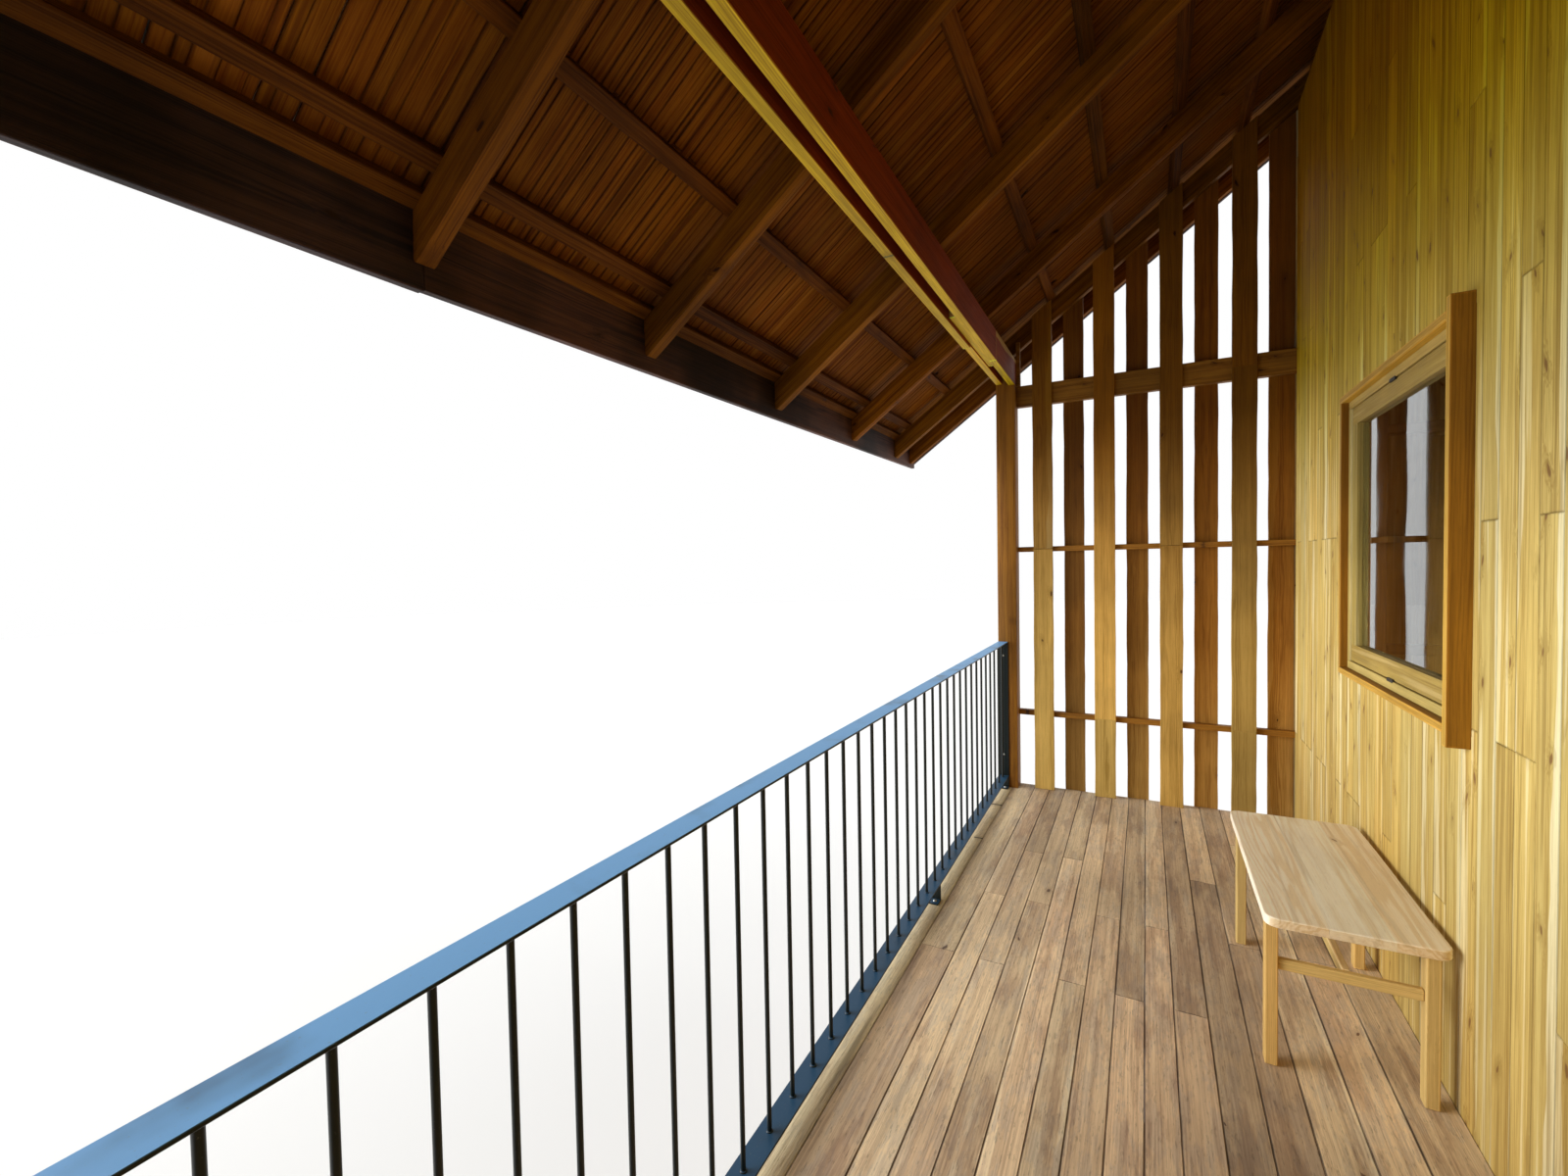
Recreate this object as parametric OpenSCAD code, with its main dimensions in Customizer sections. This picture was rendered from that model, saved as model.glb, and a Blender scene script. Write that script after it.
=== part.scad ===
// Timber stilt house with an open veranda under the front slope of its roof.
// X runs along the house, the veranda is on the -Y side, Z is up from the ground.
// The origin is on the ground, under the middle of the ridge.

/* [Posts] */
// Distance between the centres of the end posts, along the house
post_span = 6250; // [5700:10:6800]
// Side of the square posts
post_w = 120; // [100:5:140]
// Distance from the ridge line to the centre of the outer rows of posts
row_out = 2600; // [2450:10:2700]
// Distance from the ridge line to the row of stilts under the middle of the room
row_mid = 820; // [600:10:1000]
// Distance from the middle of the house to the posts beside the door
door_post_x = 650; // [600:10:700]
// Side of the square footings
footing_w = 280; // [220:10:340]
// Height of the footings above the ground
footing_h = 160; // [100:10:220]

/* [Floor] */
// Height of the veranda deck above the ground
deck_z = 1900; // [1600:10:2200]
// Thickness of the floor boards
board_t = 28; // [20:1:40]
// Depth of the joists
joist_h = 120; // [90:5:160]
// Width of the joists
joist_w = 50; // [40:1:60]
// Number of spaces between joists along the house
joist_bays = 12; // [10:2:12]
// Depth of the floor beams
floor_beam_h = 180; // [140:5:220]
// Width of the floor beams
floor_beam_w = 80; // [60:5:100]
// Width of the rim beam at the edge of the veranda
rim_w = 85; // [70:1:100]
// Radius of the rounding along the outer top edge of the rim beam
rim_r = 15; // [5:1:25]

/* [Walls] */
// Distance from the ridge line to the outer face of the veranda wall
wall_y = 1045; // [950:5:1150]
// Thickness of the wall boards
cladding_t = 25; // [18:1:30]
// Width of the girts and studs behind the wall boards, along the wall
girt_w = 50; // [40:1:60]
// Depth of the girts and studs, into the room
girt_d = 80; // [60:5:100]
// Height of the sole girts above the floor
sole_h = 60; // [40:5:100]
// Height of the highest girt of the veranda wall above the floor
high_girt_z = 3000; // [2700:10:3300]
// Clearance at the ends of girts and studs
joint_gap = 0.3; // [0.1:0.1:1]

/* [Windows and door] */
// Outer width of the window casings
window_w = 1090; // [900:10:1150]
// Height of the underside of the windows above the floor
window_z = 1030; // [900:10:1100]
// Height of the top of the windows and the door above the floor
head_z = 2140; // [2000:10:2250]
// Distance from the middle of the house to the centre of each window
window_x = 1430; // [1400:10:1500]
// Thickness of the casing boards
casing_t = 25; // [18:1:35]
// How far the casings stand out from the wall
casing_out = 50; // [30:1:70]
// How far the casings reach behind the wall face
casing_in = 45; // [30:1:60]
// How far one upright casing board runs past the casing above and below
casing_ear = 34; // [10:1:60]
// Thickness of the fixed frame inside the casing
frame_t = 30; // [20:1:40]
// Distance from the casing's front edge to the fixed frame
frame_back = 25; // [15:1:35]
// Width of the sash members
sash_w = 65; // [50:1:90]
// Thickness of the sash members
sash_t = 40; // [30:1:45]
// Running gap between the sash and its frame
sash_gap = 4; // [2:1:6]
// Distance from the front of the fixed frame to the sash
sash_back = 5; // [0:1:10]
// Diameter of the sash pivots
pivot_d = 16; // [10:1:20]
// Thickness of the glass
glass_t = 5; // [3:1:8]
// Depth of the groove that holds the glass
glass_groove = 20; // [10:1:25]
// Outer width of the door casing
door_w = 830; // [780:10:860]
// Thickness of the door leaf
leaf_t = 40; // [30:1:45]
// Clearance under the door leaf
leaf_gap = 5; // [2:1:12]

/* [Eave beams] */
// Height of the veranda posts above the deck, up to the twin beams
post_h = 2665; // [2500:5:2750]
// Depth of the twin eave beams
beam_h = 170; // [140:5:200]
// Thickness of each of the twin eave beams
beam_t = 40; // [30:1:45]
// Length of the spacers between the twin beams
spacer_l = 900; // [300:10:1100]
// Distance from the middle of the house to the centre of each spacer
spacer_x = 2200; // [1800:10:2300]
// How far the spacers stand back from the edges of the beams
spacer_back = 20; // [5:1:40]
// Distance from the middle of the house to the joint in the outer beam
outer_joint_x = 2185; // [2000:5:2400]
// Distance from the middle of the house to the joint in the inner beam
inner_joint_x = 2475; // [2300:5:2600]
// How much higher the underside of the outer beam's short length lies
short_rise = 12; // [4:1:20]
// Gap left at the butt joints of long boards and beams
butt_gap = 1; // [0.5:0.5:4]
// Clearance above the tenons of the veranda posts
tenon_gap = 5; // [2:1:10]

/* [Roof] */
// Pitch of the roof in degrees
pitch = 36; // [32:1:38]
// Depth of the rafters, square to the slope
rafter_d = 110; // [90:5:130]
// Width of the rafters
rafter_w = 48; // [40:1:80]
// Distance between the centres of the common rafters
rafter_pitch = 951; // [850:1:980]
// How far the rafter at the fascia's joint stands from its even place
joint_rafter_off = 98; // [0:1:150]
// Width of the end rafters over the screens
end_rafter_w = 45; // [35:1:60]
// Distance from the end posts' outer faces to the barge rafters
barge_rafter_out = 290; // [200:10:350]
// Depth of the seats cut in the rafters
seat_d = 30; // [20:1:40]
// Horizontal reach of the eaves past the outer faces of the posts
eave_out = 760; // [600:5:900]
// Reach of the roof past the outer faces of the end posts
gable_out = 440; // [380:5:500]
// Thickness of the fascia and barge boards
fascia_t = 25; // [18:1:35]
// Drop of the fascia below the underside of the rafter ends
fascia_drop = 55; // [20:1:90]
// How much higher the lower edge of the fascia's long length starts, past the joint
fascia_step = 3; // [0:1:15]
// Rise of the long length's lower edge, from the joint to its far end
fascia_rise = 38; // [0:1:40]
// Depth of the barge boards below the lining, square to the slope
barge_d = 130; // [90:5:160]
// Depth of the battens, square to the slope
batten_d = 40; // [25:1:50]
// Width of the battens, along the slope
batten_w = 50; // [35:1:70]
// Horizontal distance between the battens
batten_pitch = 344; // [300:1:400]
// Horizontal distance from the ridge to the first batten
batten_first = 250; // [150:5:300]
// Horizontal distance between the two battens at the eave
eave_batten_gap = 87; // [80:1:150]
// Thickness of the strip lining on the battens
lining_t = 10; // [6:1:16]
// Distance from the ridge line to the upper edge of the lining
lining_gap = 5; // [2:1:20]
// Horizontal reach of the shingles past the fascias
shingle_out = 30; // [10:1:50]
// Thickness of the shingles at their lower edges
shingle_t = 32; // [20:1:45]
// Thickness of the shingles at their upper edges
shingle_top_t = 12; // [8:1:18]
// Number of courses of shingles on each slope
courses = 17; // [10:1:22]
// Depth of the ridge beam
ridge_h = 200; // [160:5:240]
// Width of the ridge beam
ridge_w = 60; // [45:1:80]
// Width of each ridge cap board, along the slope
cap_w = 160; // [120:5:220]
// Thickness of the ridge cap boards
cap_t = 22; // [15:1:30]
// Depth of the tie beams
tie_h = 150; // [120:5:180]
// Width of the tie beams
tie_w = 80; // [60:5:100]

/* [Screens] */
// Width of the screen slats
slat_w = 120; // [90:1:140]
// Thickness of the screen slats
slat_t = 23; // [16:1:30]
// Number of slats in each screen, in two alternate layers
slats = 8; // [6:2:10]
// Distance from the post to the first slat
slat_first = 101; // [60:1:140]
// Height of the top rail of the screens
screen_top_h = 135; // [100:5:160]
// Height of the two thin rails of the screens
screen_rail_h = 33; // [25:1:60]
// Height of the middle rail above the deck
screen_mid_z = 1570; // [1300:10:1700]
// Height of the low rail above the deck
screen_low_z = 481; // [300:1:700]
// Width of the upright strip beside the ends of the eave beams
strip_w = 25; // [15:1:30]
// Thickness of that strip
strip_t = 20; // [12:1:25]
// Height of that strip
strip_h = 285; // [200:5:300]

/* [Railing] */
// Height of the railing above the deck
rail_z = 975; // [850:5:1080]
// Width of the flat bars at the top and the bottom, and of the end plate
rail_w = 65; // [50:1:80]
// Thickness of the flat bars, the end plate and the feet
rail_t = 6; // [4:1:10]
// Height of the top of the bottom bar above the deck
rail_foot_z = 78; // [50:1:120]
// Diameter of the balusters
baluster_d = 12; // [8:0.5:16]
// Number of balusters
balusters = 42; // [30:1:46]
// Distance between the centres of the balusters
baluster_pitch = 122.2; // [90:0.1:125]
// Distance from the ends of the bars to the first and last balusters
baluster_end = 45; // [30:1:80]
// Side of the square newel at the free end of the railing
newel_w = 50; // [40:1:60]
// Length of each foot's flat leg on the rim beam, along the railing
foot_l = 50; // [30:1:70]
// Width of the feet
foot_w = 42; // [30:1:50]
// Distance between the feet
foot_pitch = 1650; // [1000:10:1900]

/* [Bench] */
// Length of the bench
bench_l = 940; // [700:10:1100]
// Width of the bench
bench_w = 415; // [350:5:450]
// Height of the bench
bench_h = 450; // [400:5:480]
// Thickness of the bench top
bench_top_t = 28; // [20:1:40]
// Radius of the corners of the bench top
bench_r = 35; // [15:1:60]
// Size of the bench legs, along the bench
leg_l = 40; // [30:1:50]
// Size of the bench legs, across the bench
leg_w = 32; // [25:1:45]
// Distance from the front edge of the top to the legs
leg_front = 2; // [0:1:30]
// Distance from the back edge of the top to the legs
leg_back = 24; // [0:1:40]
// Distance from the right end of the top to the legs
leg_right = 15; // [0:1:60]
// Distance from the left end of the top to the legs
leg_left = 195; // [0:5:250]
// Height of the middle of the bench's rails above the deck
bench_rail_z = 304; // [150:2:320]
// Depth of the bench's rails
bench_rail_h = 32; // [20:1:40]
// Thickness of the bench's rails
bench_rail_t = 20; // [15:1:30]
// Gap between the bench and the veranda wall
bench_gap = 20; // [10:1:60]
// Distance from the middle of the house to the middle of the bench
bench_x = 1360; // [1200:5:1500]

/* [Hidden] */

// Lines of the plan
half_post = post_w / 2;
end_x = post_span / 2;
post_out_x = end_x + half_post;
post_in_x = end_x - half_post;
row_face = row_out + half_post;
frame_y = wall_y - cladding_t;
row_wall = frame_y - half_post;
room_in_y = row_wall - half_post;
back_face = row_out + half_post;
post_xs = [-end_x, -door_post_x, door_post_x, end_x];

// Levels of the floor
joist_top = deck_z - board_t;
joist_under = joist_top - joist_h;
beam_under = joist_under - floor_beam_h;
rim_in_y = row_face - rim_w;

// Levels of the roof
beam_z = deck_z + post_h;
beam_top = beam_z + beam_h;
rise = tan(pitch);
function under_z(y) = beam_top - seat_d + rise * (row_face - abs(y));
function slope_z(y, d) = under_z(y) + d / cos(pitch);
plate_top = under_z(frame_y) + seat_d;
plate_z = plate_top - post_w;
ridge_top = slope_z(ridge_w / 2, rafter_d);
ridge_z = ridge_top - ridge_h;
eave_y = row_face + eave_out;
rafter_end_y = eave_y - fascia_t;
fascia_z = under_z(rafter_end_y) - fascia_drop;
lining_d = rafter_d + batten_d;
cover_d = lining_d + lining_t;
roof_x = post_out_x + gable_out;
roof_edge_y = eave_y + shingle_out;
course_y = roof_edge_y / courses;
barge_in_x = roof_x - fascia_t;
joint_rafter = 3;
rafter_xs = [for (i = [0 : 5]) (i - 2.5) * rafter_pitch - (i == joint_rafter ? joint_rafter_off : 0)];

// Lines of the openings
window_h = head_z - window_z;
sill_z = deck_z + window_z;
top_z = deck_z + head_z;
back_cladding_y = back_face + cladding_t;
gable_mid_y = (back_face - post_w - room_in_y) / 2;
sash_off = casing_t + frame_t + sash_gap;
sash_y = frame_back - casing_out + sash_back;

// Lines of the screens
rail_plane_x = post_out_x - end_rafter_w;
slat_pitch = (row_face - post_w - wall_y - slat_first - slat_w) / (slats - 1);
rail_len_y = row_face - post_w - frame_y;

// Lines of the railing
rail_in_y = row_face - rail_w;
baluster_y = row_face - rail_w / 2;
rail_x0 = -post_in_x + rail_t;
first_baluster_x = rail_x0 + baluster_end;
rail_x1 = first_baluster_x + (balusters - 1) * baluster_pitch + baluster_end;

// How far a cutting shape runs past the face that it cuts
cut = 1;

// A box from its lowest and highest corners
module block(low, high) {
    translate(low) cube(high - low);
}

// An upright of square section, from one level to another
module upright(x, y, z0, z1, w = post_w) {
    block([x - w / 2, y - w / 2, z0], [x + w / 2, y + w / 2, z1]);
}

// A profile drawn in Y and Z, drawn out along X
module along_x(x0, x1) {
    translate([x0, 0, 0]) rotate([90, 0, 90]) linear_extrude(x1 - x0) children();
}

// The front and back copies of a shape drawn on the front slope
module both_slopes() {
    children();
    mirror([0, 1, 0]) children();
}

// The left and right copies of a shape drawn at the right end
module both_ends() {
    children();
    mirror([1, 0, 0]) children();
}

// Stilts and posts

module footings() {
    color("gray")
        for (x = post_xs, y = [-row_out, -row_wall, row_mid, row_out])
            upright(x, y, 0, footing_h, footing_w);
}

module stilts() {
    color("saddlebrown") {
        for (x = post_xs) upright(x, row_mid, footing_h, beam_under);
        for (x = [-door_post_x, door_post_x]) upright(x, -row_out, footing_h, beam_under);
    }
}

// Posts with a tenon between the twin beams. The left one's outer shoulder is higher, under
// the short length of the outer beam.
module veranda_posts() {
    color("saddlebrown") {
        both_ends() {
            upright(end_x, -row_out, footing_h, beam_z);
            block([post_in_x, -row_face + beam_t, beam_z],
                  [post_out_x, -row_face + post_w - beam_t, beam_top - tenon_gap]);
        }
        block([-post_out_x, -row_face, beam_z],
              [-post_in_x, -row_face + beam_t, beam_z + short_rise]);
    }
}

module wall_posts() {
    color("peru")
        for (x = post_xs) upright(x, -row_wall, footing_h, plate_z);
}

module back_posts() {
    color("peru")
        for (x = post_xs) upright(x, row_out, footing_h, beam_z);
}

// Floor

module beam_run(x0, x1, y) {
    block([x0, y - floor_beam_w / 2, beam_under], [x1, y + floor_beam_w / 2, joist_under]);
}

module floor_beams() {
    color("sienna") {
        beam_run(-post_in_x, post_in_x, -row_out);
        beam_run(-post_out_x, post_out_x, row_mid);
        for (y = [-row_wall, row_out]) {
            beam_run(-door_post_x + half_post, door_post_x - half_post, y);
            both_ends() beam_run(door_post_x + half_post, post_in_x, y);
        }
    }
}

module floor_joists() {
    joist_pitch = (2 * post_out_x - joist_w) / joist_bays;
    color("sienna") {
        for (i = [1 : joist_bays - 1]) {
            x = -post_out_x + joist_w / 2 + i * joist_pitch;
            block([x - joist_w / 2, -rim_in_y, joist_under], [x + joist_w / 2, back_face, joist_top]);
        }
        both_ends() for (run = [[-row_face + post_w, -frame_y], [-room_in_y, back_face - post_w]])
            block([post_out_x - joist_w, run[0], joist_under], [post_out_x, run[1], joist_top]);
    }
}

// The rim beam stands between the end posts, flush with their outer faces
module rim_beam() {
    color("burlywood") along_x(-post_in_x, post_in_x) difference() {
        translate([-row_face, joist_under]) square([rim_w, deck_z - joist_under]);
        translate([-row_face, deck_z - rim_r]) difference() {
            translate([-cut, 0]) square([rim_r + cut, rim_r + cut]);
            translate([rim_r, 0]) circle(rim_r, $fn = 48);
        }
    }
}

module veranda_deck() {
    color("rosybrown") difference() {
        block([-post_out_x, -rim_in_y, joist_top], [post_out_x, -wall_y, deck_z]);
        both_ends() upright(end_x, -row_out, beam_under, beam_z);
    }
}

module room_floor() {
    color("tan") difference() {
        block([-post_out_x, -frame_y, joist_top], [post_out_x, back_face, deck_z]);
        for (x = post_xs, y = [-row_wall, row_out]) upright(x, y, beam_under, beam_z);
    }
}

// Walls

// The hole for a window or door, through a wall whose outer face is on Y = 0
module opening(w, z0, z1) {
    block([-w / 2, -casing_out, z0], [w / 2, casing_out, z1]);
}

module window_spots() {
    for (x = [-window_x, window_x]) {
        translate([x, -wall_y, 0]) children();
        translate([x, back_cladding_y, 0]) rotate([0, 0, 180]) children();
    }
    for (side = [-1, 1])
        translate([side * (post_out_x + cladding_t), gable_mid_y, 0]) rotate([0, 0, side * 90]) children();
}

module veranda_wall() {
    color("khaki") difference() {
        block([-rail_plane_x, -wall_y, joist_top], [rail_plane_x, -frame_y, under_z(wall_y)]);
        window_spots() opening(window_w, sill_z, top_z);
        translate([0, -wall_y, 0]) opening(door_w, joist_top - cut, top_z);
    }
}

module gable_wall() {
    difference() {
        along_x(post_out_x, post_out_x + cladding_t) polygon([
            [-wall_y, joist_under], [back_cladding_y, joist_under],
            [back_cladding_y, slope_z(back_cladding_y, rafter_d)],
            [0, slope_z(0, rafter_d)], [-wall_y, slope_z(wall_y, rafter_d)]
        ]);
        window_spots() opening(window_w, sill_z, top_z);
        block([post_in_x, -ridge_w / 2, ridge_z], [roof_x, ridge_w / 2, slope_z(0, cover_d)]);
    }
}

module left_gable_wall() {
    color("darkkhaki") mirror([1, 0, 0]) gable_wall();
}

module right_gable_wall() {
    color("darkkhaki") gable_wall();
}

module back_wall() {
    color("khaki") difference() {
        block([-post_out_x, back_face, joist_under], [post_out_x, back_cladding_y, under_z(back_cladding_y)]);
        window_spots() opening(window_w, sill_z, top_z);
    }
}

// One bay of girts behind a wall, from x0 to x1, with the wall boards' inner face on Y = 0.
// Studs stand on both sides of an opening of width w centred on cx; w = 0 leaves them out.
module girt_bay(x0, x1, cx, w, has_sill, high) {
    a = x0 + joint_gap;
    b = x1 - joint_gap;
    block([a, 0, top_z], [b, girt_d, top_z + girt_w]);
    if (high > 0) block([a, 0, high], [b, girt_d, high + girt_w]);
    if (has_sill) {
        block([a, 0, deck_z], [b, girt_d, deck_z + sole_h]);
        block([a, 0, sill_z - girt_w], [b, girt_d, sill_z]);
    }
    stud_z = has_sill ? sill_z : deck_z;
    if (w > 0) for (side = [-1, 1])
        translate([cx + side * (w + girt_w) / 2, 0, 0])
            block([-girt_w / 2, 0, stud_z + joint_gap], [girt_w / 2, girt_d, top_z - joint_gap]);
}

module wall_girts() {
    high_z = deck_z + high_girt_z;
    color("burlywood") {
        translate([0, -frame_y, 0]) {
            girt_bay(-door_post_x + half_post, door_post_x - half_post, 0, door_w, false, high_z);
            for (side = [-1, 1]) scale([side, 1, 1])
                girt_bay(door_post_x + half_post, post_in_x, window_x, window_w, true, high_z);
        }
        translate([0, back_face, 0]) rotate([0, 0, 180]) {
            girt_bay(-door_post_x + half_post, door_post_x - half_post, 0, 0, true, 0);
            for (side = [-1, 1]) scale([side, 1, 1])
                girt_bay(door_post_x + half_post, post_in_x, window_x, window_w, true, 0);
        }
        both_ends() translate([post_out_x, gable_mid_y, 0]) rotate([0, 0, 90]) {
            reach = (back_face - post_w + room_in_y) / 2;
            girt_bay(-reach, reach, 0, window_w, true, 0);
        }
    }
}

module wall_plates() {
    color("peru") {
        block([-post_out_x, -frame_y, plate_z], [post_out_x, -room_in_y, plate_top]);
        block([-post_out_x, back_face - post_w, beam_z], [post_out_x, back_face, beam_top]);
    }
}

module tie_beams() {
    color("peru")
        for (x = post_xs)
            block([x - tie_w / 2, -room_in_y, beam_z - tie_h], [x + tie_w / 2, back_face - post_w, beam_z]);
}

module king_posts() {
    color("peru")
        for (x = post_xs) upright(x, 0, beam_z, ridge_z);
}

module ridge_beam() {
    color("peru")
        block([-barge_in_x, -ridge_w / 2, ridge_z], [barge_in_x, ridge_w / 2, ridge_top]);
}

// Eave beams

// A length of one of the twin eave beams, with its outer face at y
module beam_length(x0, x1, y, z0) {
    block([x0, y, z0], [x1, y + beam_t, beam_top]);
}

module outer_eave_beam() {
    color("sienna") {
        beam_length(-post_out_x, -outer_joint_x - butt_gap, -row_face, beam_z + short_rise);
        beam_length(-outer_joint_x, post_out_x, -row_face, beam_z);
    }
}

module inner_eave_beam() {
    y = -row_face + post_w - beam_t;
    color("sienna") {
        beam_length(-post_out_x, -inner_joint_x - butt_gap, y, beam_z);
        beam_length(-inner_joint_x, post_out_x, y, beam_z);
    }
}

module beam_spacers() {
    color("saddlebrown") both_ends()
        block([spacer_x - spacer_l / 2, -row_face + beam_t, beam_z + spacer_back],
              [spacer_x + spacer_l / 2, -row_face + post_w - beam_t, beam_top - spacer_back]);
}

// Roof

// A rafter of the front slope, from x0 to x1, cut plumb at the ridge beam and at the fascia
module rafter(x0, x1) {
    along_x(x0, x1) polygon([
        [-rafter_end_y, under_z(rafter_end_y)],
        [-ridge_w / 2, under_z(ridge_w / 2)],
        [-ridge_w / 2, slope_z(ridge_w / 2, rafter_d)],
        [-rafter_end_y, slope_z(rafter_end_y, rafter_d)]
    ]);
}

module rafter_row() {
    for (x = rafter_xs) rafter(x - rafter_w / 2, x + rafter_w / 2);
    both_ends() {
        rafter(rail_plane_x, post_out_x);
        rafter(post_out_x + barge_rafter_out, post_out_x + barge_rafter_out + rafter_w);
    }
}

module front_rafters() {
    color("saddlebrown") difference() {
        rafter_row();
        outer_eave_beam();
        wall_plates();
    }
}

module back_rafters() {
    color("saddlebrown") difference() {
        mirror([0, 1, 0]) rafter_row();
        wall_plates();
    }
}

// A batten square to the front slope, its foot on the rafters at distance y from the ridge line
module batten(y) {
    translate([0, -y, slope_z(y, rafter_d)]) rotate([pitch, 0, 0])
        block([-barge_in_x, -batten_w / 2, 0], [barge_in_x, batten_w / 2, batten_d]);
}

// The lowest batten, planed plumb along the fascia
module eave_batten() {
    foot_y = rafter_end_y - batten_w * cos(pitch);
    top_y = foot_y + batten_d * sin(pitch);
    along_x(-barge_in_x, barge_in_x) polygon([
        [-rafter_end_y, slope_z(rafter_end_y, rafter_d)], [-foot_y, slope_z(foot_y, rafter_d)],
        [-top_y, slope_z(top_y, lining_d)], [-rafter_end_y, slope_z(rafter_end_y, lining_d)]
    ]);
}

module roof_battens() {
    // A second batten lies close above the one at the eave
    second = rafter_end_y - batten_w / 2 * cos(pitch) - eave_batten_gap;
    color("saddlebrown") both_slopes() {
        for (y = [batten_first : batten_pitch : second - batten_pitch / 2]) batten(y);
        batten(second);
        eave_batten();
    }
}

// A layer of the front slope, between two depths, from the ridge gap to the lower edge
module slope_layer(d0, d1, gap, y_end) {
    along_x(-roof_x, roof_x) polygon([
        [-y_end, slope_z(y_end, d0)], [-gap, slope_z(gap, d0)],
        [-gap, slope_z(gap, d1)], [-y_end, slope_z(y_end, d1)]
    ]);
}

module roof_lining() {
    color("chocolate") both_slopes()
        slope_layer(lining_d, cover_d, lining_gap, roof_edge_y);
}

// One slope of shingles: each course is thick at its lower edge and slides under the next
module shingle_slope() {
    along_x(-roof_x, roof_x) polygon(concat(
        [[0, slope_z(0, cover_d)], [-roof_edge_y, slope_z(roof_edge_y, cover_d)]],
        [for (i = [0 : courses - 1], end = [0, 1])
            let (y = roof_edge_y - (i + end) * course_y)
                [-y, slope_z(y, cover_d + (end == 0 ? shingle_t : shingle_top_t))]]
    ));
}

module front_shingles() {
    color("dimgray") shingle_slope();
}

module back_shingles() {
    color("dimgray") mirror([0, 1, 0]) shingle_slope();
}

// Two boards that lie on the highest courses and meet over the ridge
module ridge_cap() {
    y = cap_w * cos(pitch);
    top = cover_d + shingle_top_t;
    foot = top + (shingle_t - shingle_top_t) * y / course_y;
    color("dimgray") along_x(-roof_x, roof_x) polygon([
        [-y, slope_z(y, foot)], [0, slope_z(0, top)], [y, slope_z(y, foot)],
        [y, slope_z(y, foot + cap_t)], [0, slope_z(0, top + cap_t)], [-y, slope_z(y, foot + cap_t)]
    ]);
}

// A length of the front fascia, from x0 to x1
module fascia(x0, x1) {
    along_x(x0, x1) polygon([
        [-eave_y, fascia_z], [-rafter_end_y, fascia_z],
        [-rafter_end_y, slope_z(rafter_end_y, lining_d)], [-eave_y, slope_z(eave_y, lining_d)]
    ]);
}

// Each fascia is two lengths that meet on a rafter. The long one is planed narrower to its far end.
module fascias() {
    joint_x = rafter_xs[joint_rafter];
    color("saddlebrown") both_slopes() {
        fascia(joint_x, barge_in_x);
        difference() {
            fascia(-barge_in_x, joint_x - butt_gap);
            translate([0, -rafter_end_y + cut, fascia_z]) rotate([90, 0, 0])
                linear_extrude(fascia_t + 2 * cut) polygon([
                    [joint_x, -cut], [joint_x, fascia_step],
                    [-barge_in_x - cut, fascia_step + fascia_rise], [-barge_in_x - cut, -cut]
                ]);
        }
    }
}

module barge_boards() {
    d = lining_d - barge_d;
    color("saddlebrown") both_slopes() both_ends()
        along_x(barge_in_x, roof_x) polygon([
            [-eave_y, slope_z(eave_y, d)], [-butt_gap, slope_z(butt_gap, d)],
            [-butt_gap, slope_z(butt_gap, lining_d)], [-eave_y, slope_z(eave_y, lining_d)]
        ]);
}

// Screens at the ends of the veranda

module screen_rails() {
    color("saddlebrown") both_ends() {
        for (run = [[post_h - screen_top_h, post_h],
                    [screen_mid_z, screen_mid_z + screen_rail_h],
                    [screen_low_z, screen_low_z + screen_rail_h]])
            block([rail_plane_x, -row_face + post_w, deck_z + run[0]],
                  [post_out_x, -frame_y, deck_z + run[1]]);
        // The strip beside the beam ends is nailed to the rafter above the top rail
        block([rail_plane_x - strip_t, -row_face + post_w, beam_z],
              [rail_plane_x, -row_face + post_w + strip_w, beam_z + strip_h]);
    }
}

// Slat number i, counted from the post, with its top cut to the slope of the roof
module slat(i, x, foot_z) {
    y = -row_face + post_w + slat_first + i * slat_pitch;
    along_x(x, x + slat_t) polygon([
        [y, foot_z], [y + slat_w, foot_z],
        [y + slat_w, slope_z(y + slat_w, rafter_d)], [y, slope_z(y, rafter_d)]
    ]);
}

module inner_slats() {
    color("peru") both_ends()
        for (i = [0 : 2 : slats - 2]) slat(i, rail_plane_x - slat_t, deck_z);
}

module outer_slats() {
    color("peru") both_ends()
        for (i = [1 : 2 : slats - 1]) slat(i, post_out_x, joist_under);
}

// Windows and door, each drawn for an outer wall face on Y = 0 with the room on the +Y side

// Four members t wide, between depths y0 and y1. The one at +X runs from end to end,
// the one at -X stands between the other two.
module four_members(w, z0, z1, t, y0, y1) {
    block([w / 2 - t, y0, z0], [w / 2, y1, z1]);
    for (z = [z0, z1 - t]) block([-w / 2, y0, z], [w / 2 - t - joint_gap, y1, z + t]);
    block([-w / 2, y0, z0 + t + joint_gap], [-w / 2 + t, y1, z1 - t - joint_gap]);
}

module window_casing() {
    four_members(window_w, sill_z, top_z, casing_t, -casing_out, casing_in);
    block([window_w / 2 - casing_t, -casing_out, sill_z - casing_ear],
          [window_w / 2, 0, top_z + casing_ear]);
}

module window_casings() {
    color("saddlebrown") window_spots() window_casing();
}

module window_frames() {
    color("burlywood") window_spots()
        four_members(window_w - 2 * casing_t, sill_z + casing_t, top_z - casing_t, frame_t,
                     frame_back - casing_out, casing_in);
}

module window_sashes() {
    color("wheat") window_spots() {
        difference() {
            four_members(window_w - 2 * sash_off, sill_z + sash_off, top_z - sash_off, sash_w,
                         sash_y, sash_y + sash_t);
            pane();
        }
        // Pivots in the middle of the top and bottom, up to the frame
        for (z = [sill_z + sash_off - sash_gap, top_z - sash_off])
            translate([0, sash_y + sash_t / 2, z]) cylinder(d = pivot_d, h = sash_gap);
    }
}

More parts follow.
